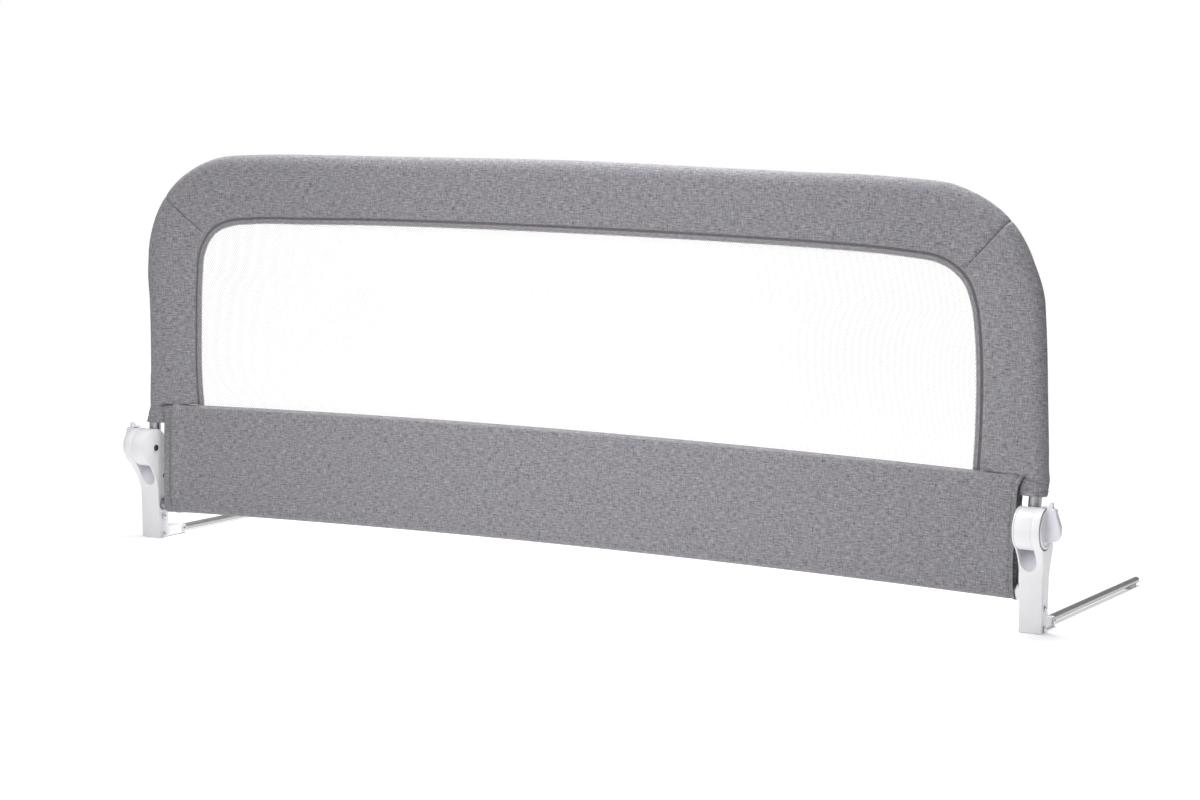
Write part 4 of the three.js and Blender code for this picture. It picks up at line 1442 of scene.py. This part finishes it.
@dataclass
class LowerPanel:
    """The lower cloth panel: two layers round the lower tube that close at the net's foot."""

    finishes: Finishes
    needle: Needle
    half_width: float = 618.0
    top: float = 188.0
    half_top: float = 9.0
    half_gap: float = 1.6
    crown: float = 4.0
    loop_radius: float = 10.0
    left_hem: float = 10.5
    right_hem: float = 4.6
    corner_flare: float = 7.0
    corner_rise: float = 2.6
    flare_span: float = 60.0
    hem_lift: float = 0.7
    stitch_dip: float = 1.3
    left_ridge: float = 3.8
    right_ridge: float = 0.5
    ridge_inside: float = 5.5
    tuck_back: float = 3.0
    tuck_aside: float = 1.6
    right_drift: Knots = ((38, 2.6), (60, 0.6), (110, 0.6), (150, 2.3), (188, 4.0))
    right_steps: tuple[float, ...] = (0, 1.2, 2.6, 4.0, 4.5, 4.7, 5.4, 6.4, 8, 11, 15, 20, 27)
    left_steps: tuple[float, ...] = (
        0, 1.5, 4, 7, 9.5, 10.4, 10.6, 11.5, 12.5, 14, 16, 18, 20, 22, 25, 30, 36,
    )
    wall: float = 1.1

    def section(self) -> list[tuple[float, float]]:
        """Y and z of each point round the panel, from the front's top down."""
        r = self.loop_radius

        def edge(a: float, face: int) -> tuple[float, float]:
            """A point of the rounded top edge on one face."""
            y = self.half_gap + (self.half_top - self.half_gap) * math.sin(a)
            return face * y, self.top - self.crown * (1 - math.cos(a))

        points = [edge(a, -1) for a in evenly(0, math.pi / 2, 6)]
        points += between(points[-1], (LOWER_TUBE_Y - r, LOWER_TUBE_Z), 34)
        points += [
            (LOWER_TUBE_Y + r * math.cos(a), LOWER_TUBE_Z + r * math.sin(a))
            for a in evenly(math.pi, 2 * math.pi, 16)[1:]
        ]
        points += between(points[-1], (self.half_top, self.top - self.crown), 34)
        return points + [edge(a, 1) for a in evenly(math.pi / 2, 0, 6)[1:]]

    def height_at(self, z: float) -> float:
        """The height as a share of the way from the lower tube to the panel's top."""
        return (z - LOWER_TUBE_Z) / (self.top - LOWER_TUBE_Z)

    def hem_at(self, x: float) -> float:
        """The depth of the side hem on that side of the panel."""
        return self.left_hem if x < 0 else self.right_hem

    def swell(self, x: float, y: float, z: float) -> float:
        """How far the cloth stands off its plain section at a place, in millimetres."""
        edge, hem = self.half_width - abs(x), self.hem_at(x)
        out = self.hem_lift if edge < hem else 0.0
        out -= self.stitch_dip * bell(edge - hem - 0.6, 1.2)
        height = self.height_at(z)
        ridge = (self.left_ridge if x < 0 else self.right_ridge) * (1.0 if height > 0.1 else 0.3)
        reach = edge - hem - self.ridge_inside
        out += ridge * bell(reach, 4.0 if reach < 0 else 9.5)
        out -= self.tuck_back * self.tuck_at(x, z)
        if 0 < height < 1:
            belly = math.sin(math.pi * height) ** 0.7
            out += belly * (1.2 * noise.noise(Vector((x / 130, z / 80, math.copysign(3, y)))))
            out += belly * 0.6 * noise.noise(Vector((x / 34, z / 48, math.copysign(9, y))))
            out += 0.2 * noise.noise(Vector((x / 11, z / 16, math.copysign(4, y))))
            out += belly * 0.8 - 0.8 * bell(self.top - z, 5)
        return out

    def tuck_at(self, x: float, z: float) -> float:
        """How far the left hem is pulled back there, from 0 to 1 at the edge."""
        height = self.height_at(z)
        fade = max(0.0, min(1.0, height / 0.15, (1 - height) / 0.12))
        return fade * max(0.0, 1 - (self.half_width + x) / self.left_hem)

    def spread(self, x: float, z: float) -> float:
        """The place along the rail of a point, where the panel's right edge stands out."""
        reach = max(0.0, x - self.half_width + self.flare_span) / self.flare_span
        out = self.corner_flare * bell(self.top - z, 9) + along_knots(self.right_drift, z)
        return x + reach**2 * out - self.tuck_aside * self.tuck_at(x, z)

    def stations(self) -> list[float]:
        """Places of the sections along the rail, closer together at the side hems."""
        right = [self.half_width - step for step in self.right_steps]
        left = [step - self.half_width for step in reversed(self.left_steps)]
        return right + evenly(right[-1], left[0], 170)[1:-1] + left

    def build_cloth(self) -> bpy.types.Object:
        """The panel as a plain mesh."""
        section, places = self.section(), self.stations()
        count = len(section)
        rounds = [0.0]
        for a, b in zip(section, section[1:]):
            rounds.append(rounds[-1] + math.dist(a, b))
        loops = []
        for x in places:
            loop = []
            lift = self.corner_rise * bell(self.half_width - x, 26)
            for i, (y, z) in enumerate(section):
                before, after = section[i - 1], section[(i + 1) % count]
                run = Vector((after[0] - before[0], after[1] - before[1])).normalized()
                out = self.swell(x, y, z)
                new_y, new_z = y + run.y * out, z - run.x * out
                rise = lift * bell(self.top - z, 16)
                loop.append(at(self.spread(x, new_z), new_y, new_z + rise + bow(x)))
            loops.append(loop)

        def weave(s: int, i: int) -> tuple[float, float]:
            """The map's place, with 2 mm for the gap that closes the loop."""
            return places[s] * MM, rounds[i % count] * MM + (0.002 if i == count else 0)

        return lofted("lower_panel_cloth", loops, weave, self.wall * MM)

    def side_row(self, side: Side, face: int) -> list[Vector]:
        """The path of the stitches beside a side hem, on the front or the back layer."""
        x = side.value * (self.half_width - self.hem_at(side.value) + 1.4)
        low = LOWER_TUBE_Y + face * self.loop_radius
        points = []
        for z in evenly(LOWER_TUBE_Z + 2, self.top - 7, 60):
            y = low + (face * self.half_top - low) * self.height_at(z)
            y += face * (self.swell(x, face, z) + 0.15)
            points.append(at(self.spread(x, z), y, z + bow(x)))
        return points

    def build(self) -> None:
        """Makes the panel and its stitches, and bakes their placement into their meshes."""
        cloth = dressed(self.build_cloth(), self.finishes.cloth, None, "lower_panel")
        rows = [self.side_row(side, face) for side in Side for face in (-1, 1)]
        stitches = self.needle.sew("panel_hem_stitches", rows, None)
        low, high = at(0, 0, LOWER_TUBE_Z + 14), at(0, 0, self.top - 6)
        for piece in (cloth, stitches):
            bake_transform(piece)


# Frame


@dataclass
class RailTubes:
    """The steel hoop inside the cover and the tube that joins the legs."""

    finishes: Finishes
    maker: TubeMaker
    radius: float = 8.0
    inset: float = 10.0
    tuck: float = 6.5
    foot: float = 122.0
    lean_from: float = 150.0
    lean_to: float = 230.0
    joint: float = 330.0
    top_gap: float = 0.3
    lower_gap: float = 0.15
    lower_end: float = 646.0
    collar_radius: float = 10.0
    collar_from: float = 621.7
    collar_length: float = 5.5

    def hoop(self, side: Side) -> list[Vector]:
        """The corner tube's centre line, from the hub to the joint in the top."""
        points = []
        for z in evenly(self.foot, RIM.top - RIM.radius, 30):
            lean = max(0.0, min(1.0, (z - self.lean_from) / (self.lean_to - self.lean_from)))
            points.append(Vector((COLUMN + lean * RIM.drift(side, z), z)))
        for a in evenly(0, math.pi / 2, 24)[1:]:
            depth = self.inset + self.tuck * math.sin(2 * a)
            points.append(RIM.round(side, a) - ray(a) * depth)
        for x in evenly(RIM.half - RIM.radius, self.joint, 8)[1:]:
            points.append(RIM.over(side, x) - Vector((0, self.inset)))
        return [at(side.value * p.x, 0, p.y + bow(p.x)) for p in points]

    def lower_line(self, side: Side) -> list[Vector]:
        """The centre line of one length of the tube between the legs, which follows the bow."""
        start, end = side.value * self.lower_gap, side.value * self.lower_end
        return [at(x, LOWER_TUBE_Y, LOWER_TUBE_Z + bow(x)) for x in evenly(start, end, 40)]

    def top_line(self) -> list[Vector]:
        """The centre line of the tube in the cover's top."""
        points = []
        for x in evenly(self.top_gap - self.joint, self.joint - self.top_gap, 60):
            over = RIM.over(Side.of(x), abs(x))
            points.append(at(x, 0, over.y - self.inset + bow(x)))
        return points

    def build_collar(self) -> bpy.types.Object:
        """The white collar where the lower tube enters the right leg."""
        start, end = self.collar_from, self.collar_from + self.collar_length
        bore, rim = self.radius + 0.5, self.collar_radius
        profile = [
            (start, bore), (start, rim - 0.9), (start + 0.3, rim - 0.3), (start + 0.9, rim),
            (end, rim), (end, bore),
        ]
        loops = []
        for angle in evenly(0, 2 * math.pi, 48):
            across, over = math.cos(angle), math.sin(angle)
            loops.append([
                at(x, LOWER_TUBE_Y + r * across, LOWER_TUBE_Z + r * over) for x, r in profile
            ])
        collar = lofted("tube_collar", loops, lambda s, i: (s * MM, i * MM))
        with opened(collar.data) as shell:
            weld(shell)
        collar.data.set_sharp_from_angle(angle=math.radians(35))
        return collar

    def build(self) -> None:
        """Draws the tubes and the collar."""
        plan = [
            (f"{side.label}_hoop_tube", self.hoop(side), "upper_frame", f"{side.label}_corner_tube")
            for side in Side
        ]
        plan.append(("hoop_top_tube", self.top_line(), "upper_frame", "top_tube"))
        plan += [
            (f"{side.label}_lower_rail", self.lower_line(side), "base", f"lower_tube_{side.label}")
            for side in Side
        ]
        for name, path, body, node in plan:
            self.maker.draw(name, path, self.radius, self.finishes.rail, body, node)
        dressed(self.build_collar(), self.finishes.shell, "base", "lower_tube_collar")


@dataclass
class MouldedPart:
    """A rigid part taken from its CAD solid, with its edges rounded."""

    node: str
    rounding: float
    finish: Finish
    body: str
    planes: Knots = ()
    near: float = 0.4
    flat_angle: float = 1.2
    edge_angle: float = 32.0
    shade_angle: float = 34.0

    def in_plane(self, vert: bmesh.types.BMVert, plane: float) -> bool:
        """Whether a vertex lies in a plane, on either side of the middle."""
        return abs(abs(vert.co.x) - plane * MM) < self.near * MM

    def build(self) -> bpy.types.Object:
        """Copies the node's mesh, merges it, rounds its edges and dresses it.

        An edge that lies in one of the planes, given by its distance from the middle, gets only
        that plane's share of the rounding. A share of 0 marks the shells' joint, whose gap is
        closed.

        Returns:
            The new piece, which replaces the node.
        """
        name = f"{self.node}_moulded"
        mesh = bpy.data.meshes.new(name)
        with opened(mesh, bpy.data.objects[self.node].data) as shell:
            bmesh.ops.remove_doubles(shell, verts=shell.verts, dist=2 * WELD)
            bmesh.ops.dissolve_degenerate(shell, edges=shell.edges, dist=WELD)
            bmesh.ops.dissolve_limit(
                shell, angle_limit=math.radians(self.flat_angle), verts=shell.verts,
                edges=shell.edges,
            )
            for plane, share in self.planes:
                for vert in shell.verts:
                    if share == 0 and self.in_plane(vert, plane):
                        vert.co.x = math.copysign(plane * MM, vert.co.x)
            weights = shell.edges.layers.float.new("bevel_weight_edge")
            sharp_angle = math.radians(self.edge_angle)
            for edge in shell.edges:
                share = 1.0
                for plane, its_share in self.planes:
                    if all(self.in_plane(vert, plane) for vert in edge.verts):
                        share = its_share
                sharp = len(edge.link_faces) == 2 and edge.calc_face_angle(0) > sharp_angle
                edge[weights] = share if sharp else 0.0
        part = mesh_object(name, mesh)
        bevel = part.modifiers.new("rounding", "BEVEL")
        bevel.limit_method = "WEIGHT"
        bevel.width = self.rounding * MM
        bevel.segments = 3
        bevel.use_clamp_overlap = True
        bevel.harden_normals = False
        flattened(part)
        smooth_all(part.data)
        part.data.set_sharp_from_angle(angle=math.radians(self.shade_angle))
        return dressed(part, self.finish, self.body, self.node)


@dataclass
class WingKnob:
    """The quarter-turn knob: a dished disc with an upright wing, a finger nub and a ledge."""

    finishes: Finishes
    seat: float = 658.4
    face: float = 663.0
    disc_radius: float = 23.4
    wing_width: float = 9.0
    wing_top: float = 26.0
    wing_foot: float = 15.0
    reach_top: float = 10.9
    reach_most: float = 16.6
    nub_height: float = 7.0
    nub_width: float = 6.0
    nub_reach: float = 6.5
    ledge_height: float = 26.6
    ledge_width: float = 8.0
    grain: float = 0.6
    sides: int = 72

    def disc(self, shell: bmesh.types.BMesh) -> None:
        """Adds the dished disc."""
        r, face, sides = self.disc_radius, self.face, self.sides
        profile = [
            (self.seat, 0), (self.seat, r), (face - 1.2, r), (face - 0.3, r - 0.5),
            (face, r - 1.4), (face - 0.2, r - 2.4), (face - 1.4, r - 5.0), (face - 1.9, r - 12.0),
            (face - 1.9, 0),
        ]
        rows = []
        for x, radius in profile:
            angles = [2 * math.pi * t / sides for t in range(1 if radius == 0 else sides)]
            rows.append([
                shell.verts.new((x, radius * math.cos(a), radius * math.sin(a))) for a in angles
            ])
        for low, high in zip(rows, rows[1:]):
            for i in range(sides):
                j = (i + 1) % sides
                corners = [
                    low[i % len(low)], low[j % len(low)], high[j % len(high)], high[i % len(high)]
                ]
                shell.faces.new(list(dict.fromkeys(corners)))

    def slab(
        self, shell: bmesh.types.BMesh, outline: Sequence[tuple[float, float]], width: float
    ) -> None:
        """Adds a slab with that outline, x from the disc's face and z, and that width in y."""
        near, far = (
            [shell.verts.new((self.face + x, y, z)) for x, z in outline]
            for y in (-width / 2, width / 2)
        )
        shell.faces.new(near)
        shell.faces.new(far[::-1])
        for i in range(len(outline)):
            j = (i + 1) % len(outline)
            shell.faces.new((near[j], near[i], far[i], far[j]))

    def wing_outline(self) -> list[tuple[float, float]]:
        """The wing's outline: narrow at the top, a belly below the middle, drawn in at the foot."""
        top, foot = self.wing_top, -self.wing_foot
        high, most = self.reach_top, self.reach_most
        knots = [
            (high - 2.5, top), (high - 0.4, top - 1.8), (high + 0.8, top - 8),
            (most - 2.0, top - 16), (most, 3.0), (most, -4.5), (most - 1.8, -9.5),
            (most - 4.5, foot + 2.4), (most - 8.5, foot + 1.4), (0.0, foot),
        ]
        smooth = []
        for i in range(len(knots) - 1):
            before = Vector(knots[max(i - 1, 0)])
            a, b = Vector(knots[i]), Vector(knots[i + 1])
            after = Vector(knots[min(i + 2, len(knots) - 1)])
            for t in evenly(0, 1, 5)[:-1]:
                bend = 0.5 * (
                    2 * a + (b - before) * t + (2 * before - 5 * a + 4 * b - after) * t * t
                    + (3 * a - before - 3 * b + after) * t**3
                )
                smooth.append((bend.x, bend.y))
        return smooth + [knots[-1], (-2.6, foot + 1.0), (-2.6, top - 4.0), (-0.5, top)]

    def build(self, side: Side) -> bpy.types.Object:
        """Joins the knob's forms, melts them together and dresses it.

        Args:
            side: The end that it is on.

        Returns:
            The knob, which replaces its node.
        """
        low, high = self.wing_top - 5, self.wing_top + self.nub_height
        reach, ledge = self.nub_reach, self.ledge_height
        nub = [
            (0.6, low), (reach, low), (reach - 0.4, high - 1.2), (reach - 1.6, high),
            (1.8, high), (0.7, high - 1.2),
        ]
        tab = [
            (-7.8, ledge), (3.0, ledge), (3.0, ledge + 2.0), (-7.0, ledge + 1.8),
            (-7.8, ledge + 1.1),
        ]
        name = f"{side.label}_wing_knob_moulded"
        mesh = bpy.data.meshes.new(name)
        with opened(mesh) as shell:
            self.disc(shell)
            self.slab(shell, self.wing_outline(), self.wing_width)
            self.slab(shell, nub, self.nub_width)
            self.slab(shell, tab, self.ledge_width)
        knob = mesh_object(name, mesh)
        remesh = knob.modifiers.new("melt", "REMESH")
        remesh.mode = "VOXEL"
        remesh.voxel_size = self.grain
        remesh.use_smooth_shade = True
        smooth = knob.modifiers.new("soften", "SMOOTH")
        smooth.factor = 0.5
        smooth.iterations = 5
        flattened(knob)
        place = Matrix.Translation((0, PIVOT_Y + RAIL_PLANE, PIVOT_Z))
        knob.data.transform(Matrix.Scale(MM, 4) @ place)
        if side is Side.LEFT:
            knob.data.transform(Matrix.Scale(-1, 4, (1, 0, 0)))
            knob.data.flip_normals()
        return dressed(
            knob, self.finishes.knob, f"{side.label}_knob", f"{side.label}_wing_knob"
        )


@dataclass
class Leg:
    """One hinged leg with its head, bracket, fasteners and support arm."""

    finishes: Finishes
    maker: TubeMaker
    heads: HeadPress
    side: Side
    inner_face: float = 627.5
    outer_face: float = 656.0
    split: float = 641.75
    head_face: float = 661.0
    cheek: float = 10.5
    bolt_y: float = 4.0
    upper_bolt_z: float = 30.0
    lower_bolt_z: float = 5.0
    rivet_y: float = 54.0
    rivet_z: float = 7.0
    bracket_width: float = 20.0
    bolt_head: float = 3.8
    bolt_proud: float = 2.1
    bolt_sunk: float = 1.3
    rivet_head: float = 3.9
    rivet_proud: float = 0.9
    pivot_head: float = 4.1
    pivot_proud: float = 1.0
    arm_from: float = 62.3
    arm_to: float = 405.2
    arm_radius: float = 4.5

    def name(self, part: str) -> str:
        """A part's name with this end's word in front."""
        return f"{self.side.label}_{part}"

    def spot(self, x: float, y: float, z: float) -> Vector:
        """A place on this end's leg, given for the right-hand one."""
        return at(self.side.value * x, y, z)

    def build_shells(self) -> None:
        """The leg's two shells, the hub, the bracket and the arm's small parts."""
        look = self.finishes
        joint, face = (self.split, 0.0), (self.head_face, 0.3)
        cheeks = ((COLUMN - self.cheek, 0.3), (COLUMN + self.cheek, 0.3))
        arm = self.name("arm")
        plan = [
            ("leg_outer_shell", 1.5, look.shell, "base", (joint, face, *cheeks)),
            ("leg_inner_shell", 1.5, look.shell, "base", (joint, *cheeks)),
            ("hinge_hub", 0.4, look.shell, "upper_frame"),
            ("foot_bracket", 0.45, look.bracket, "base"),
            ("arm_knuckle", 0.9, look.bracket, arm),
            ("arm_end_plug", 0.8, look.arm, arm),
            ("arm_foot", 0.8, look.rubber, arm),
        ]
        for part, *rest in plan:
            MouldedPart(self.name(part), *rest).build()

    def build_heads(self) -> None:
        """Domed heads on the leg's bolts and rivet, and a dark one on the pivot's inner end."""
        zinc, outward, half = self.finishes.zinc, self.side.value, self.bracket_width / 2
        for word, way, face in (("outer", 1, self.outer_face), ("inner", -1, self.inner_face)):
            x = face + way * self.bolt_proud - way * self.bolt_sunk
            places = [self.spot(x, self.bolt_y, z) for z in (self.upper_bolt_z, self.lower_bolt_z)]
            name = self.name(f"{word}_bolt_heads")
            self.heads.press(name, places, way * outward, self.bolt_head, zinc, "base")
        for word, way in (("outer", 1), ("inner", -1)):
            x = COLUMN + way * half + way * self.rivet_proud
            place = self.spot(x, self.rivet_y, self.rivet_z)
            name = self.name(f"{word}_rivet_head")
            self.heads.press(name, [place], way * outward, self.rivet_head, zinc, "base")
        place = self.spot(self.inner_face - self.pivot_proud, PIVOT_Y, PIVOT_Z)
        dark = self.finishes.dark
        self.heads.press(self.name("pivot_head"), [place], -outward, self.pivot_head, dark, "base")

    def build_arm(self) -> None:
        """The support arm's tube."""
        run = evenly(self.arm_from, self.arm_to, 12)
        self.maker.draw(
            self.name("arm_tube_drawn"), [self.spot(COLUMN, y, self.rivet_z) for y in run],
            self.arm_radius, self.finishes.arm, self.name("arm"), self.name("arm_tube"),
        )

    def dress_nodes(self, nodes: dict[str, bpy.types.Object]) -> None:
        """Gives the carried-over CAD nodes of this end their finishes."""
        look = self.finishes
        plan = (
            (look.dark, "pivot_bolt shell_screw"),
            (look.zinc, "release_spring tube_pin upper_leg_bolt lower_leg_bolt arm_rivet"),
            (look.knob, "clamp_ring"),
        )
        for finish, parts in plan:
            for part in parts.split():
                for place in nodes[self.name(part)].material_slots:
                    place.material = finish.material

    def build(self, nodes: dict[str, bpy.types.Object]) -> None:
        """Makes this end's parts.

        Args:
            nodes: The CAD nodes by name.
        """
        self.build_shells()
        self.build_heads()
        self.build_arm()
        self.dress_nodes(nodes)
        WingKnob(self.finishes).build(self.side)


# Studio


@dataclass
class Studio:
    """The floor, the light and the camera."""

    camera_place: tuple[float, float, float] = (1822.6, -3363.4, 649.6)
    yaw: float = 27.730
    pitch: float = -6.161
    roll: float = 1.1585
    lens: float = 90.0
    floor_size: float = 14.0
    floor_glow: float = 1.30
    floor_share: float = 0.75
    shadow: float = 0.36
    shadow_right: float = 0.12
    shadow_spot: tuple[float, float] = (0.66, 0.225)
    shadow_reach: tuple[float, float] = (0.16, 0.2)
    ambient: float = 0.30
    aim_height: float = 280.0

    def build_camera(self) -> None:
        """The camera at the photograph's place."""
        data = bpy.data.cameras.new("camera")
        data.lens = self.lens
        data.sensor_width = 36.0
        data.sensor_fit = "HORIZONTAL"
        data.clip_end = 60.0
        camera = bpy.data.objects.new("camera", data)
        bpy.context.scene.collection.objects.link(camera)
        yaw, pitch, roll = (math.radians(a) for a in (self.yaw, self.pitch, self.roll))
        level = Vector((math.cos(yaw), math.sin(yaw), 0))
        ahead = Vector((
            -math.sin(yaw) * math.cos(pitch), math.cos(yaw) * math.cos(pitch), math.sin(pitch)
        ))
        over = level.cross(ahead)
        right = level * math.cos(roll) + over * math.sin(roll)
        up = over * math.cos(roll) - level * math.sin(roll)
        turn = Matrix((right, up, -ahead)).transposed().to_4x4()
        camera.matrix_world = Matrix.Translation(at(*self.camera_place)) @ turn
        bpy.context.scene.camera = camera

    def seen_white(self, graph: Graph, *rays: str) -> Term:
        """1 where a surface or the sky is seen by one of those kinds of ray, else 0."""
        path = graph.node("ShaderNodeLightPath")
        seen = graph.term(path, f"Is {rays[0]} Ray")
        for ray_kind in rays[1:]:
            seen = seen.through("MAXIMUM", graph.term(path, f"Is {ray_kind} Ray"))
        return seen

    def build_floor(self) -> None:
        """The pale floor, which keeps the object's shadow.

        It glows white to the camera, a little less near the legs and arms, so a soft shadow shows.
        """
        mesh = bpy.data.meshes.new("floor")
        half = self.floor_size / 2
        corners = [(-half, -half, 0), (half, -half, 0), (half, half, 0), (-half, half, 0)]
        mesh.from_pydata(corners, [], [(0, 1, 2, 3)])
        floor = mesh_object("floor", mesh)
        coat = Coat("pale_floor")
        x, y, z = coat.axes()
        mottle = coat.noise(x * 3, y * 3, z, 2.0)
        coat.give(Base_Color=coat.scaled((0.93, 0.93, 0.93, 1), 0.99 + mottle * 0.02))
        coat.give(Roughness=0.9, Specular_IOR_Level=0.1)
        glow = coat.node(
            "ShaderNodeEmission", inputs={"Color": WHITE, "Strength": self.floor_glow}
        )
        (leg, arm), (side_reach, arm_reach) = self.shadow_spot, self.shadow_reach
        off_leg = abs(abs(x) - leg) / side_reach
        off_arm = (abs(y) - arm).positive() / arm_reach
        near = (1 - off_leg.capped()) * (1 - off_arm.capped())
        share = self.floor_share - near * (x.through("SIGN") * self.shadow_right + self.shadow)
        seen = self.seen_white(coat, "Camera", "Glossy", "Transmission")
        mix = coat.node("ShaderNodeMixShader", inputs={"Fac": seen * share})
        coat.feed(mix.inputs[1], coat.shader.outputs[0])
        coat.feed(mix.inputs[2], glow.outputs[0])
        coat.feed(coat.tree.nodes["Material Output"].inputs["Surface"], mix.outputs[0])
        floor.data.materials.append(coat.material)

    def build_sky(self) -> None:
        """Even light from all round, with a white background."""
        world = bpy.data.worlds.new("studio")
        world.use_nodes = True
        bpy.context.scene.world = world
        graph = Graph(world.node_tree)
        ground = graph.tree.nodes["Background"]
        seen = self.seen_white(graph, "Camera", "Transmission")
        graph.feed(ground.inputs["Color"], WHITE)
        graph.feed(ground.inputs["Strength"], seen * (1 - self.ambient) + self.ambient)

    def build_lamps(self) -> None:
        """Two large soft lamps: one over the front, one behind the top edge."""
        plan = [
            ("key_lamp", (130.0, -1300.0, 540.0), 6.8, 1.0),
            ("top_lamp", (60.0, 110.0, 1500.0), 37.5, 1.1),
        ]
        for name, place, power, size in plan:
            data = bpy.data.lights.new(name, "AREA")
            data.energy = power
            data.size = size
            lamp = bpy.data.objects.new(name, data)
            bpy.context.scene.collection.objects.link(lamp)
            spot = at(*place)
            aim = (at(0, 0, self.aim_height) - spot).to_track_quat("-Z", "Y")
            lamp.matrix_world = Matrix.Translation(spot) @ aim.to_matrix().to_4x4()

    def build(self) -> None:
        """Sets up the whole studio."""
        bpy.context.scene.view_settings.view_transform = "Standard"
        self.build_camera()
        self.build_floor()
        self.build_sky()
        self.build_lamps()


def main() -> None:
    """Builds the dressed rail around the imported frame."""
    logging.basicConfig(level=logging.INFO, format="%(message)s")
    Studio().build()
    finishes = Finishes.build()
    needle, maker, heads = Needle(finishes.thread), TubeMaker(), HeadPress()
    Cover(finishes, needle).build()
    Window(finishes, needle).build()
    LowerPanel(finishes, needle).build()
    RailTubes(finishes, maker).build()
    for side in Side:
        Leg(finishes, maker, heads, side).build(frame["nodes"])


if __name__ == "__main__":
    main()
